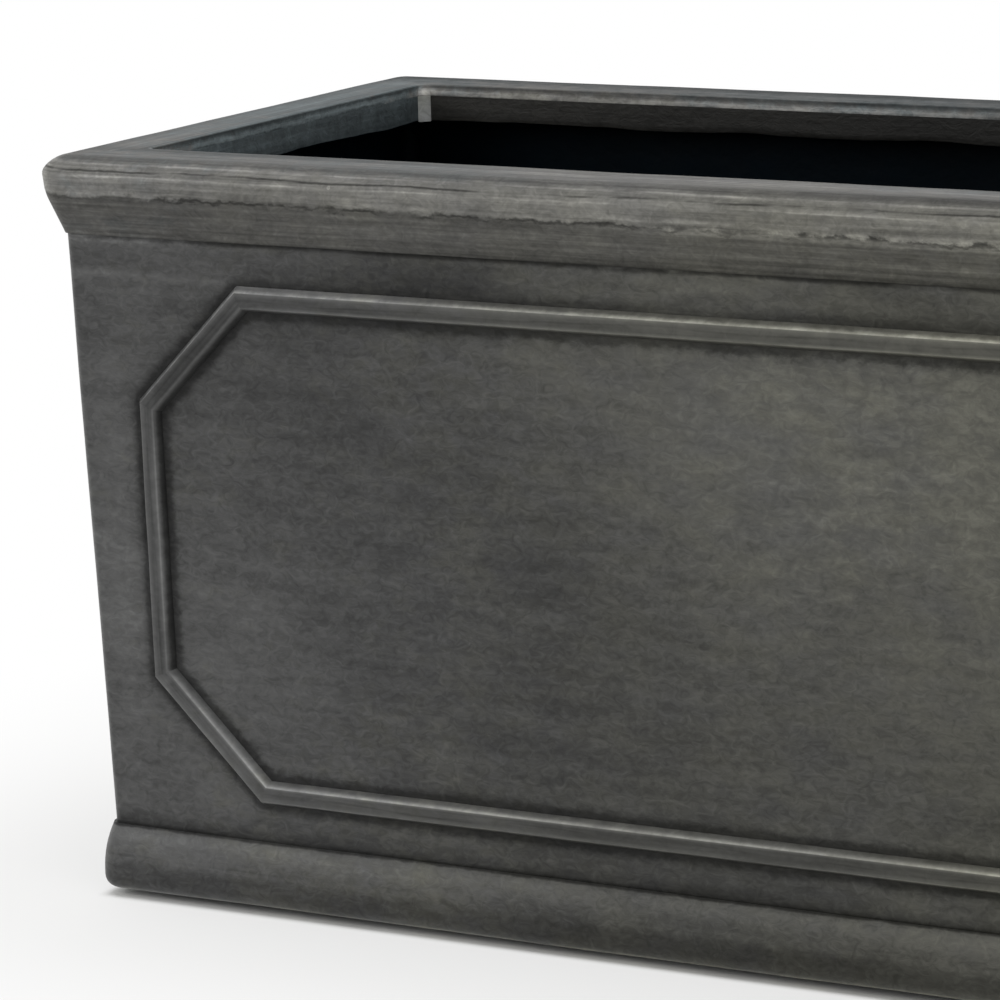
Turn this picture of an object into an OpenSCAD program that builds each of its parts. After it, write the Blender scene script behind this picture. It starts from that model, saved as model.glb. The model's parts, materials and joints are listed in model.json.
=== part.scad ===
// Rectangular lead-effect trough planter with a cornice rim, strap panels and a plinth.
// X runs along the trough, Y from front to back and Z up.
// The origin is on the ground under the middle of the trough.

/* [Overall] */
// Length over the rim
trough_l = 800; // [560:10:1200]
// Depth from the front of the rim to the back
trough_w = 280; // [230:5:420]
// Height from the ground to the top of the rim
trough_h = 300; // [240:5:420]

/* [Walls] */
// Thickness of the moulded wall
wall_t = 5; // [3:0.5:7]
// How far each wall leans in from the cornice down to the plinth
wall_lean = 6.6; // [0:0.2:12]
// Radius inside the corners of the hollow
hollow_corner_r = 6; // [3:0.5:12]

/* [Rim moulding] */
// Width from the fascia to the opening
rim_w = 34.5; // [28:0.5:45]
// Thickness of the flat top
rim_t = 5; // [4:0.5:8]
// How far the fascia stands out from the top of the wall
rim_overhang = 9; // [6:0.5:11]
// Radius of the fascia round the corners, seen from above
rim_corner_r = 14; // [13:0.5:20]
// Width of the eased outer edge of the flat top
ease_w = 12.4; // [7:0.2:12.8]
// Drop of the eased outer edge
ease_drop = 6.4; // [2:0.2:8]
// Height of the fascia
fascia_h = 8.8; // [6:0.2:14]
// How far the fascia leans in at its foot
fascia_lean = 0.9; // [0:0.1:2]
// Height of the slope from the fascia in to the wall
slope_h = 16.2; // [12:0.2:24]
// Step at the joint between the slope and the wall
joint_step = 0.8; // [0.4:0.1:1.2]
// Radius of the inner edge round the opening
opening_edge_r = 3; // [1:0.5:3.5]

/* [Return strips] */
// Height of the strips that hang below the flat top
strip_h = 11; // [8:0.5:30]
// Thickness of the strips
strip_t = 4; // [3:0.5:6]
// Leg of the diagonal fillet in each corner of the opening
fillet_leg = 4.2; // [3:0.2:8]

/* [Plinth] */
// Height of the plinth moulding
plinth_h = 27; // [20:1:40]
// How far the plinth swells out from the foot of the wall
plinth_out = 5.4; // [3:0.2:8]
// Height of the widest line of the plinth above its underside
belly_h = 7; // [5.5:0.5:9]
// Radius of the plinth's lower edge
plinth_edge_r = 5; // [2:0.5:5]

/* [Panel mouldings] */
// Width of the raised strap
strap_w = 10; // [7:0.5:14]
// Width of the strap's flat crown
crown_w = 6; // [3:0.2:6.8]
// Height of the strap above the wall
strap_out = 3.4; // [2:0.2:6]
// Wall left bare at the sides of a panel
panel_side_gap = 28.8; // [20:0.2:50]
// Wall left bare between a panel and the cornice
panel_top_gap = 16.5; // [10:0.5:30]
// Wall left bare between a panel and the plinth
panel_foot_gap = 14.9; // [10:0.1:30]
// Leg of the diagonal that cuts off each corner of a panel
panel_cut = 47.6; // [20:1:60]

/* [Floor and drainage] */
// Thickness of the floor panel
base_t = 6; // [4:0.5:10]
// Diameter of a drain hole
drain_d = 16; // [10:0.5:22]
// Distance from each end of the rim to the nearest drain hole
drain_inset = 150; // [100:10:200]
// Radial play between a bung and its hole
bung_play = 0.05; // [0.02:0.01:0.08]
// How far a bung's flange overlaps the floor round its hole
bung_lap = 5; // [3:0.5:8]
// Thickness of a bung's flange
bung_flange_t = 2.5; // [1.5:0.5:4]
// Diameter of the grip on a bung
bung_grip_d = 7; // [5:0.5:9]
// Height of the grip on a bung
bung_grip_h = 5; // [4:0.5:10]
// How far a bung's stem stops short of the floor's underside
bung_short = 1; // [0.5:0.5:2]

/* [Foot pads] */
// Diameter of a foot pad
foot_d = 30; // [20:1:40]
// Thickness of a foot pad, which lifts the floor off the ground
foot_h = 3; // [2:0.5:6]
// Distance from the rim's outer faces to the middle of a foot pad
foot_inset = 48; // [46:1:60]

/* [Hidden] */

$fn = 64;
LEAD = [0.33, 0.33, 0.31];
LEAD_LIGHT = [0.41, 0.41, 0.38];
LEAD_DARK = [0.25, 0.25, 0.24];
RAW_LAMINATE = [0.12, 0.12, 0.12];
RUBBER = [0.08, 0.08, 0.08];

// Margin by which a cutter runs past what it cuts
past = 1;
hull_fn = 32;
// Thickness of the slices that a hull is stretched between
slice = 0.01;

// Heights above the ground
floor_z = foot_h;
rim_under_z = trough_h - rim_t;
fascia_top_z = trough_h - ease_drop;
fascia_foot_z = fascia_top_z - fascia_h;
joint_z = fascia_foot_z - slope_h;
plinth_top_z = floor_z + plinth_h;
belly_z = floor_z + belly_h;

// Insets from the rim's outer faces
lean_per_mm = wall_lean / (joint_z - plinth_top_z);
wall_corner_r = rim_corner_r - rim_overhang;
foot_of_wall_inset = wall_inset(plinth_top_z);
plinth_top_inset = foot_of_wall_inset - joint_step;
belly_inset = foot_of_wall_inset - plinth_out;
plinth_corner_inset = foot_of_wall_inset + wall_corner_r;
opening_l = trough_l - 2 * rim_w;
opening_w = trough_w - 2 * rim_w;
drain_pitch = trough_l / 2 - drain_inset;

function wall_inset(z) = rim_overhang + (joint_z - z) * lean_per_mm;

// Radius of an arc that starts level at one end and climbs rise over run
function arc_r(run, rise) = (run * run + rise * rise) / (2 * rise);

// Corners of an octagon made by cutting 45 degree corners off a rectangle, drawn in by inset
function octagon(l, w, cut, inset) =
    let (
        a = l / 2 - inset,
        b = w / 2 - inset,
        c = cut - inset * (2 - sqrt(2))
    )
    [[a - c, -b], [a, c - b], [a, b - c], [a - c, b], [c - a, b], [-a, b - c], [-a, c - b], [c - a, -b]];

// Block with rounded upright corners, drawn in by inset from the rim's outer faces
module rounded_slab(inset, r, z, h) {
    for (sx = [-1, 1], sy = [-1, 1])
        translate([sx * (trough_l / 2 - inset - r), sy * (trough_w / 2 - inset - r), z])
            cylinder(h = h, r = r, $fn = hull_fn);
}

// The outside of the leaning walls
module wall_outside() {
    high = rim_under_z - slice;
    hull() {
        rounded_slab(wall_inset(floor_z), wall_corner_r, floor_z, slice);
        rounded_slab(wall_inset(high), wall_corner_r, high, slice);
    }
}

// The hollow between the walls, running past their ends by margin
module wall_hollow(margin) {
    low = floor_z - margin;
    high = rim_under_z + margin;
    hull() {
        rounded_slab(wall_inset(low) + wall_t, hollow_corner_r, low, slice);
        rounded_slab(wall_inset(high) + wall_t, hollow_corner_r, high, slice);
    }
}

// Sweeps half a section round the trough. The section has its inset from the rim's outer faces along X
// and its height along Y, and the corners turn about a point corner_inset in from both faces.
module sweep_round(corner_inset) {
    run_x = trough_l - 2 * corner_inset;
    run_y = trough_w - 2 * corner_inset;
    for (side = [0, 1])
        mirror([0, side, 0])
            translate([-run_x / 2, -trough_w / 2, 0])
                rotate([90, 0, 90])
                    linear_extrude(run_x)
                        children();
    for (side = [0, 1])
        mirror([side, 0, 0])
            translate([-trough_l / 2, run_y / 2, 0])
                rotate([90, 0, 0])
                    linear_extrude(run_y)
                        children();
    for (sx = [0, 1], sy = [0, 1])
        mirror([sx, 0, 0])
            mirror([0, sy, 0])
                translate([run_x / 2, run_y / 2, 0])
                    rotate_extrude(angle = 90)
                        intersection() {
                            translate([corner_inset, 0])
                                mirror([1, 0])
                                    children();
                            square([corner_inset, trough_h]);
                        }
}

module wall_shell() {
    color(LEAD)
        difference() {
            wall_outside();
            wall_hollow(past);
        }
}

// Section of the cornice out to the fascia, as deep as the turn of its corners
module cornice_section() {
    ease_r = arc_r(ease_w, ease_drop);
    difference() {
        polygon([
            [rim_corner_r, joint_z],
            [rim_overhang - joint_step, joint_z],
            [fascia_lean, fascia_foot_z],
            [0, fascia_top_z],
            [0, trough_h],
            [rim_corner_r, trough_h]
        ]);
        difference() {
            translate([-past, fascia_top_z])
                square([ease_w + past, ease_drop + past]);
            translate([ease_w, trough_h - ease_r])
                circle(ease_r);
        }
    }
}

// The cornice all round, filled in across the opening
module cornice_solid() {
    sweep_round(rim_corner_r)
        cornice_section();
    translate([rim_corner_r - trough_l / 2, rim_corner_r - trough_w / 2, joint_z])
        cube([trough_l - 2 * rim_corner_r, trough_w - 2 * rim_corner_r, trough_h - joint_z]);
}

// Rounds the inner edge of the flat top along one side of an opening that is long by deep, between fillets
module opening_edge_cut(long, deep) {
    run = long - 2 * fillet_leg;
    translate([-run / 2, -deep / 2, trough_h])
        rotate([90, 0, 90])
            linear_extrude(run)
                difference() {
                    translate([-opening_edge_r, -opening_edge_r])
                        square([opening_edge_r + past, opening_edge_r + past]);
                    translate([-opening_edge_r, -opening_edge_r])
                        circle(opening_edge_r);
                }
}

module rim_moulding() {
    color(LEAD_LIGHT)
        difference() {
            cornice_solid();
            wall_outside();
            translate([0, 0, joint_z - past])
                linear_extrude(trough_h - joint_z + 2 * past)
                    polygon(octagon(opening_l, opening_w, fillet_leg, 0));
            for (turn = [0, 180]) {
                rotate([0, 0, turn])
                    opening_edge_cut(opening_l, opening_w);
                rotate([0, 0, turn + 90])
                    opening_edge_cut(opening_w, opening_l);
            }
        }
}

// Section of the plinth out to its belly, as deep as the turn of its corners
module plinth_section() {
    swell_h = plinth_top_z - belly_z;
    swell_r = arc_r(swell_h, plinth_top_inset - belly_inset);
    intersection() {
        translate([belly_inset, floor_z])
            square([plinth_corner_inset - belly_inset, plinth_h]);
        union() {
            translate([belly_inset + plinth_edge_r, floor_z])
                square([plinth_corner_inset, belly_h]);
            translate([belly_inset, floor_z + plinth_edge_r])
                square([plinth_corner_inset, belly_h - plinth_edge_r]);
            translate([belly_inset + plinth_edge_r, floor_z + plinth_edge_r])
                circle(plinth_edge_r);
            intersection() {
                translate([belly_inset + swell_r, belly_z])
                    circle(swell_r, $fn = 128);
                translate([belly_inset, belly_z])
                    square([plinth_corner_inset, swell_h]);
            }
        }
    }
}

module plinth_moulding() {
    color(LEAD)
        difference() {
            sweep_round(plinth_corner_inset)
                plinth_section();
            wall_outside();
        }
}

// Octagonal strap with bevelled flanks, l by h over its outside, standing up along +Z
module strap_ring(l, h) {
    flank = (strap_w - crown_w) / 2;
    difference() {
        hull() {
            linear_extrude(slice)
                polygon(octagon(l, h, panel_cut, 0));
            translate([0, 0, strap_out - slice])
                linear_extrude(slice)
                    polygon(octagon(l, h, panel_cut, flank));
        }
        hull() {
            translate([0, 0, -past])
                linear_extrude(past + slice)
                    polygon(octagon(l, h, panel_cut, strap_w));
            translate([0, 0, strap_out])
                linear_extrude(past)
                    polygon(octagon(l, h, panel_cut, strap_w - flank));
        }
    }
}

// Strap panel on the wall that faces -Y, under a rim that is long by deep
module panel_moulding(long, deep) {
    foot_z = plinth_top_z + panel_foot_gap;
    top_z = joint_z - panel_top_gap;
    mid_z = (foot_z + top_z) / 2;
    slant = atan(lean_per_mm);
    color(LEAD_LIGHT)
        translate([0, wall_inset(mid_z) - deep / 2, mid_z])
            rotate([90 + slant, 0, 0])
                strap_ring(long - 2 * (wall_inset(mid_z) + panel_side_gap), (top_z - foot_z) / cos(slant));
}

module long_panel() {
    panel_moulding(trough_l, trough_w);
}

module end_panel() {
    panel_moulding(trough_w, trough_l);
}

// Return strip under the flat top, along the front edge of an opening that is long by deep
module return_strip(long, deep) {
    color(LEAD_DARK)
        translate([-long / 2, -deep / 2 - strip_t, rim_under_z - strip_h])
            cube([long, strip_t, strip_h]);
}

// The long strips run past the ends of the short ones
module long_strip() {
    return_strip(opening_l + 2 * strip_t, opening_w);
}

module end_strip() {
    return_strip(opening_w, opening_l);
}

// Upright fillet in the corner of the opening on side sx, sy
module corner_fillet(sx, sy) {
    color(LEAD_LIGHT)
        translate([sx * opening_l / 2, sy * opening_w / 2, rim_under_z - strip_h])
            linear_extrude(strip_h)
                polygon([[0, 0], [-sx * fillet_leg, 0], [0, -sy * fillet_leg]]);
}

module base_panel() {
    color(RAW_LAMINATE)
        difference() {
            intersection() {
                wall_hollow(past);
                translate([-trough_l / 2, -trough_w / 2, floor_z])
                    cube([trough_l, trough_w, base_t]);
            }
            for (i = [-1:1])
                translate([i * drain_pitch, 0, floor_z - past])
                    cylinder(h = base_t + 2 * past, d = drain_d);
        }
}

// Bung in drain hole number i, counted from the middle
module drain_bung(i) {
    top_z = floor_z + base_t;
    color(RUBBER)
        translate([i * drain_pitch, 0, 0]) {
            translate([0, 0, floor_z + bung_short])
                cylinder(h = base_t - bung_short, r = drain_d / 2 - bung_play);
            translate([0, 0, top_z])
                cylinder(h = bung_flange_t, r = drain_d / 2 + bung_lap);
            translate([0, 0, top_z + bung_flange_t])
                cylinder(h = bung_grip_h, d = bung_grip_d);
        }
}

module foot_pad(sx, sy) {
    color(RUBBER)
        translate([sx * (trough_l / 2 - foot_inset), sy * (trough_w / 2 - foot_inset), 0])
            cylinder(h = foot_h, d = foot_d);
}

wall_shell();
rim_moulding();
plinth_moulding();
long_panel();  // front_panel_moulding
rotate([0, 0, 180]) long_panel();  // back_panel_moulding
rotate([0, 0, -90]) end_panel();  // left_panel_moulding
rotate([0, 0, 90]) end_panel();  // right_panel_moulding
long_strip();  // front_return_strip
rotate([0, 0, 180]) long_strip();  // back_return_strip
rotate([0, 0, -90]) end_strip();  // left_return_strip
rotate([0, 0, 90]) end_strip();  // right_return_strip
corner_fillet(-1, -1);  // corner_fillet_front_left
corner_fillet(1, -1);  // corner_fillet_front_right
corner_fillet(-1, 1);  // corner_fillet_back_left
corner_fillet(1, 1);  // corner_fillet_back_right
base_panel();
drain_bung(-1);  // drain_bung_left
drain_bung(0);  // drain_bung_middle
drain_bung(1);  // drain_bung_right
foot_pad(-1, -1);  // foot_pad_front_left
foot_pad(1, -1);  // foot_pad_front_right
foot_pad(-1, 1);  // foot_pad_back_left
foot_pad(1, 1);  // foot_pad_back_right
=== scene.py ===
"""Looks of a lead-effect trough planter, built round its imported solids.

X runs along the trough, Y from the photographed front to the back and Z up, all in metres.
"""

from __future__ import annotations

import json
import logging
import math
from dataclasses import dataclass
from enum import Enum
from typing import Callable, Iterable, Sequence

import bmesh
import bpy
import numpy as np
from mathutils import Matrix, Vector

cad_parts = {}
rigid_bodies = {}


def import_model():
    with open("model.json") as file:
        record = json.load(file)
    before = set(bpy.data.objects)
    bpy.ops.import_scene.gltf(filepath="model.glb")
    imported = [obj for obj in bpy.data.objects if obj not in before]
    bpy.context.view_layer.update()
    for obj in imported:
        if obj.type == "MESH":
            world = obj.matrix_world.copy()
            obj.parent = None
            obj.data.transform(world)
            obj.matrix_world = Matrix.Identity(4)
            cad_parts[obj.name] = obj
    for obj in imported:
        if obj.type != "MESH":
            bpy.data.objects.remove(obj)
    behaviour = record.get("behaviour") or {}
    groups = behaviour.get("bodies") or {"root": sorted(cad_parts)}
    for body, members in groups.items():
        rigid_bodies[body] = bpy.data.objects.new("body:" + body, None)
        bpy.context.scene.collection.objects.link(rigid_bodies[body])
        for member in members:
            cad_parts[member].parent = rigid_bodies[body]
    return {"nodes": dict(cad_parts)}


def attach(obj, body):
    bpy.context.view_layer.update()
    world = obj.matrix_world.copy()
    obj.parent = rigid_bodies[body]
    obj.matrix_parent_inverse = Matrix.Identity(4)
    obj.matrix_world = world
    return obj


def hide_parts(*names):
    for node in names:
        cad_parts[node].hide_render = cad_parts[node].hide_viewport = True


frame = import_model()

log = logging.getLogger("trough")

MM = 0.001
TINY = 1e-5
NEVER_ZERO = 1e-9
SMOOTH_DEGREES = 35.0
ZONE_STEPS = 2.0
X, Y, Z = 0, 1, 2
BRUSHING = "brushing"
STRAP_GAP = "strap_gap"
CORNER_TURN = "corner_turn"
CORNERS = {
    "front_left": (-1, -1), "back_left": (-1, 1), "front_right": (1, -1), "back_right": (1, 1),
}

Point = tuple[float, float, float]
SectionPoint = tuple[float, float]
Colour = tuple[float, float, float]
Stops = Sequence[tuple[float, float]]
Hollows = tuple[float, float]
Edge = bmesh.types.BMEdge
Socket = bpy.types.NodeSocket


class Pick(Enum):
    """The kind of part that is picked in edit mode."""

    POINTS = "VERT"
    EDGES = "EDGE"
    FACES = "FACE"


class Side(Enum):
    """One side of the trough, with the turn in degrees that brings a front piece there."""

    FRONT = 0
    BACK = 180
    LEFT = -90
    RIGHT = 90

    @property
    def is_long(self) -> bool:
        """Whether it is the front or the back."""
        return self in (Side.FRONT, Side.BACK)

    @property
    def turn(self) -> Matrix:
        """The turn that brings a front piece there."""
        return Matrix.Rotation(math.radians(self.value), 4, "Z")


@dataclass(frozen=True)
class TroughSizes:
    """The trough's sizes, as its solids have them."""

    length: float = 800 * MM
    depth: float = 280 * MM
    height: float = 300 * MM
    wall: float = 5 * MM
    hollow_corner_r: float = 6 * MM
    wall_corner_r: float = 5 * MM
    lean: float = 0.0276614
    rim_width: float = 34.5 * MM
    rim_top: float = 5 * MM
    overhang: float = 9 * MM
    joint_height: float = 268.6 * MM
    joint_step: float = 0.8 * MM
    plinth_top: float = 30 * MM
    floor_under: float = 3 * MM
    fillet_leg: float = 4.2 * MM

    @property
    def rim_under(self) -> float:
        """Height of the underside of the rim's flat plate."""
        return self.height - self.rim_top

    @property
    def halves(self) -> tuple[float, float]:
        """Half the length and half the depth over all."""
        return self.length / 2, self.depth / 2

    def wall_inset(self, height: float) -> float:
        """Returns how far in from the rim's outer faces the wall's outside is at a height."""
        return self.overhang + (self.joint_height - height) * self.lean

    @property
    def opening(self) -> tuple[float, float]:
        """Half the length and half the depth of the opening."""
        return self.length / 2 - self.rim_width, self.depth / 2 - self.rim_width


SIZES = TroughSizes()


def span(edge: Edge, axis: int) -> float:
    """Returns how far apart an edge's ends are along an axis."""
    return abs(edge.verts[0].co[axis] - edge.verts[1].co[axis])


def length_of(edge: Edge) -> float:
    """Returns an edge's length."""
    return (edge.verts[0].co - edge.verts[1].co).length


def lies_at(edge: Edge, axis: int, at: float, slack: float = TINY) -> bool:
    """Says whether both ends of an edge are at one place along an axis."""
    return all(abs(vert.co[axis] - at) < slack for vert in edge.verts)


class Workpiece:
    """One mesh under work in edit mode, with its parts picked by their place."""

    def __init__(self, name: str) -> None:
        """Takes over the primitive that has just been added.

        Args:
            name: Name of the piece.
        """
        self.obj = bpy.context.object
        self.obj.name = name
        self.obj.data.name = name
        while self.obj.data.uv_layers:
            self.obj.data.uv_layers.remove(self.obj.data.uv_layers[0])
        bpy.ops.object.transform_apply(location=True, rotation=True, scale=True)
        bpy.ops.object.mode_set(mode="EDIT")

    @classmethod
    def box(cls, name: str, low: Point, high: Point) -> Workpiece:
        """Adds a box between two corners.

        Args:
            name: Name of the piece.
            low: Lowest corner.
            high: Highest corner.

        Returns:
            The new workpiece.
        """
        bpy.ops.object.select_all(action="DESELECT")
        middle = [(a + b) / 2 for a, b in zip(low, high)]
        size = [b - a for a, b in zip(low, high)]
        bpy.ops.mesh.primitive_cube_add(size=1, location=middle, scale=size)
        return cls(name)

    @classmethod
    def plate(cls, name: str, length: float, depth: float) -> Workpiece:
        """Adds a flat plate round the origin.

        Args:
            name: Name of the piece.
            length: Size along X.
            depth: Size along Y.

        Returns:
            The new workpiece.
        """
        bpy.ops.object.select_all(action="DESELECT")
        bpy.ops.mesh.primitive_plane_add(size=1, location=(0, 0, 0))
        bpy.context.object.scale = (length, depth, 1)
        return cls(name)

    @classmethod
    def disc(cls, name: str, radius: float, height: float, segments: int) -> Workpiece:
        """Adds a flat disc facing down, round the Z axis.

        Args:
            name: Name of the piece.
            radius: Radius of the disc.
            height: Height of the disc above the ground.
            segments: Number of its sides.

        Returns:
            The new workpiece.
        """
        bpy.ops.object.select_all(action="DESELECT")
        bpy.ops.mesh.primitive_circle_add(
            vertices=segments, radius=radius, fill_type="NGON", location=(0, 0, height)
        )
        return cls(name)

    @classmethod
    def chain(cls, name: str, points: Sequence[Point], closed: bool) -> Workpiece:
        """Extrudes a single point from place to place.

        Args:
            name: Name of the piece.
            points: The places, in order.
            closed: Whether the last point is joined to the first.

        Returns:
            The new workpiece, with the chain picked.
        """
        bpy.ops.object.select_all(action="DESELECT")
        bpy.ops.mesh.primitive_plane_add(size=MM, location=points[0])
        piece = cls(name)
        bpy.ops.mesh.select_mode(type="VERT")
        bpy.ops.mesh.select_all(action="SELECT")
        bpy.ops.mesh.merge(type="CENTER")
        for before, after in zip(points, points[1:]):
            piece.extrude(Vector(after) - Vector(before))
        if closed:
            ends = [Vector(points[0]), Vector(points[-1])]
            piece.pick(Pick.POINTS, lambda v: any((v.co - e).length < TINY for e in ends))
            bpy.ops.mesh.edge_face_add()
        piece.pick(Pick.EDGES, lambda e: True)
        return piece

    def pick(self, kind: Pick, test: Callable[..., bool]) -> Workpiece:
        """Picks the parts that pass a test, and no others.

        Args:
            kind: Points, edges or faces.
            test: Takes the part and returns whether it is picked.

        Returns:
            The workpiece itself.
        """
        bpy.ops.mesh.select_mode(type=kind.value)
        bpy.ops.mesh.select_all(action="DESELECT")
        mesh = bmesh.from_edit_mesh(self.obj.data)
        mesh.normal_update()
        parts = {Pick.POINTS: mesh.verts, Pick.EDGES: mesh.edges, Pick.FACES: mesh.faces}[kind]
        for part in parts:
            if test(part):
                part.select_set(True)
        mesh.select_flush_mode()
        bmesh.update_edit_mesh(self.obj.data)
        return self

    def extrude(self, step: Sequence[float]) -> Workpiece:
        """Extrudes the picked parts by a step."""
        bpy.ops.mesh.extrude_region_move(TRANSFORM_OT_translate={"value": tuple(step)})
        return self

    def move(self, step: Sequence[float]) -> Workpiece:
        """Moves the picked parts by a step."""
        bpy.ops.transform.translate(value=tuple(step))
        return self

    def scale(self, factors: Sequence[float], centre: Sequence[float]) -> Workpiece:
        """Scales the picked parts about a centre."""
        bpy.ops.transform.resize(value=tuple(factors), center_override=tuple(centre))
        return self

    def bevel(self, offset: float, segments: int, corners: bool = False) -> Workpiece:
        """Bevels the picked edges, or the picked corner points.

        Args:
            offset: Width taken off each face.
            segments: Number of strips across the bevel.
            corners: Whether points are bevelled and not edges.

        Returns:
            The workpiece itself.
        """
        affect = "VERTICES" if corners else "EDGES"
        bpy.ops.mesh.bevel(offset=offset, segments=segments, affect=affect)
        return self

    def cut(self, cuts: int) -> Workpiece:
        """Subdivides the picked edges by a number of cuts."""
        bpy.ops.mesh.subdivide(number_cuts=cuts)
        return self

    def merge(self) -> Workpiece:
        """Merges points that lie in one place.

        Returns:
            The workpiece itself.
        """
        bpy.ops.mesh.select_all(action="SELECT")
        bpy.ops.mesh.remove_doubles(threshold=TINY)
        return self

    def face_outwards(self) -> Workpiece:
        """Turns all the faces outwards.

        Returns:
            The workpiece itself.
        """
        bpy.ops.mesh.select_all(action="SELECT")
        bpy.ops.mesh.normals_make_consistent(inside=False)
        return self

    def close(self) -> bpy.types.Object:
        """Leaves edit mode and returns the object."""
        bpy.ops.object.mode_set(mode="OBJECT")
        return self.obj

    def open(self) -> Workpiece:
        """Goes back into edit mode.

        Returns:
            The workpiece itself.
        """
        activate(self.obj)
        bpy.ops.object.mode_set(mode="EDIT")
        return self


def activate(obj: bpy.types.Object) -> None:
    """Makes an object the only one selected, and the active one.

    Args:
        obj: The object.
    """
    bpy.ops.object.select_all(action="DESELECT")
    obj.select_set(True)
    bpy.context.view_layer.objects.active = obj


def modify(obj: bpy.types.Object, kind: str, **settings: object) -> None:
    """Adds a modifier to an object and applies it.

    Args:
        obj: The object.
        kind: Blender's name for the modifier.
        **settings: Its settings.
    """
    activate(obj)
    modifier = obj.modifiers.new(kind.lower(), kind)
    for key, value in settings.items():
        setattr(modifier, key, value)
    bpy.ops.object.modifier_apply(modifier=modifier.name)


def place(obj: bpy.types.Object, where: Matrix) -> None:
    """Turns and moves an object's mesh, and leaves the object itself at the origin.

    Args:
        obj: The object.
        where: The turn and the move.
    """
    activate(obj)
    obj.matrix_world = where
    bpy.ops.object.transform_apply(location=True, rotation=True, scale=True)


def copy_of(obj: bpy.types.Object, name: str) -> bpy.types.Object:
    """Copies an object with a mesh of its own.

    Args:
        obj: The object to copy.
        name: Name of the copy.

    Returns:
        The copy.
    """
    twin = obj.copy()
    twin.data = obj.data.copy()
    twin.name = name
    twin.data.name = name
    bpy.context.scene.collection.objects.link(twin)
    return twin


def with_copies(first: bpy.types.Object, names: Iterable[str]) -> list[bpy.types.Object]:
    """Returns a piece followed by a copy of it for each name."""
    return [first, *(copy_of(first, name) for name in names)]


def on_four_sides(stem: str, long_piece: bpy.types.Object,
                  short_piece: bpy.types.Object) -> dict[Side, bpy.types.Object]:
    """Copies the front piece for the back and the left one for the right.

    Args:
        stem: What the copies' names start with.
        long_piece: The front piece.
        short_piece: The left piece.

    Returns:
        The four pieces by side.
    """
    return {
        Side.FRONT: long_piece,
        Side.BACK: copy_of(long_piece, f"{stem}_back"),
        Side.LEFT: short_piece,
        Side.RIGHT: copy_of(short_piece, f"{stem}_right"),
    }


def points_of(obj: bpy.types.Object) -> np.ndarray:
    """Reads a mesh's points.

    Args:
        obj: The object.

    Returns:
        The points, one a row.
    """
    points = np.zeros(len(obj.data.vertices) * 3)
    obj.data.vertices.foreach_get("co", points)
    return points.reshape(-1, 3)


def corners_of(obj: bpy.types.Object) -> tuple[np.ndarray, np.ndarray]:
    """Reads a mesh's face corners.

    Args:
        obj: The object.

    Returns:
        For each face corner its point and its face's middle.
    """
    mesh = obj.data
    index = np.zeros(len(mesh.loops), int)
    mesh.loops.foreach_get("vertex_index", index)
    counts = np.zeros(len(mesh.polygons), int)
    mesh.polygons.foreach_get("loop_total", counts)
    middles = np.zeros(len(mesh.polygons) * 3)
    mesh.polygons.foreach_get("center", middles)
    face = np.repeat(np.arange(len(counts)), counts)
    return points_of(obj)[index], middles.reshape(-1, 3)[face]


def lay_brushing(obj: bpy.types.Object, along: np.ndarray, across: np.ndarray) -> None:
    """Stores the way that a surface was brushed as its UV map.

    Args:
        obj: The piece.
        along: For each face corner, the distance along the brushing.
        across: For each face corner, the distance across it.
    """
    layer = obj.data.uv_layers.new(name=BRUSHING)
    layer.data.foreach_set("uv", np.column_stack([along, across]).astype(np.float32).ravel())


def store(obj: bpy.types.Object, name: str, values: np.ndarray) -> None:
    """Stores one number for each point of a mesh.

    Args:
        obj: The piece.
        name: Name that the finishes read.
        values: The numbers.
    """
    attribute = obj.data.attributes.new(name, "FLOAT", "POINT")
    attribute.data.foreach_set("value", values.astype(np.float32))


def around(points: np.ndarray, middles: np.ndarray, corner: float) -> np.ndarray:
    """Measures how far round the trough points are from the middle of its front.

    Args:
        points: The points.
        middles: For each point a place that says which side it is on.
        corner: Inset of the point that the corners turn about.

    Returns:
        The distances, negative on the left.
    """
    half_x, half_y = (half - corner for half in SIZES.halves)
    quarter = corner * math.pi / 2
    beyond_x = np.abs(middles[:, X]) - half_x
    beyond_y = np.abs(middles[:, Y]) - half_y
    x = np.abs(points[:, X])
    y = points[:, Y]
    front = middles[:, Y] < 0
    in_corner = (beyond_x > 0) & (beyond_y > 0)
    turn = np.arctan2(np.maximum(x - half_x, 0), np.maximum(np.abs(y) - half_y, NEVER_ZERO))
    at_end = half_x + quarter + y + half_y
    long_run = np.where(front, x, 3 * half_x + 2 * quarter + 2 * half_y - x)
    past_end = half_x + quarter + 2 * half_y + corner * (math.pi / 2 - turn)
    bend = np.where(front, half_x + corner * turn, past_end)
    distance = np.where(in_corner, bend, np.where(beyond_x > beyond_y, at_end, long_run))
    return np.sign(middles[:, X]) * distance


def inset_of(points: np.ndarray, corner: float) -> np.ndarray:
    """Measures how far in from the rim's outer faces points are.

    Args:
        points: The points.
        corner: Inset of the point that the corners turn about.

    Returns:
        The insets.
    """
    beyond_x, beyond_y = (np.abs(points[:, axis]) - (SIZES.halves[axis] - corner) for axis in (X, Y))
    round_corner = np.hypot(np.maximum(beyond_x, 0), np.maximum(beyond_y, 0))
    outside = np.minimum(np.maximum(beyond_x, beyond_y), 0) + round_corner
    return corner - outside


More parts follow.
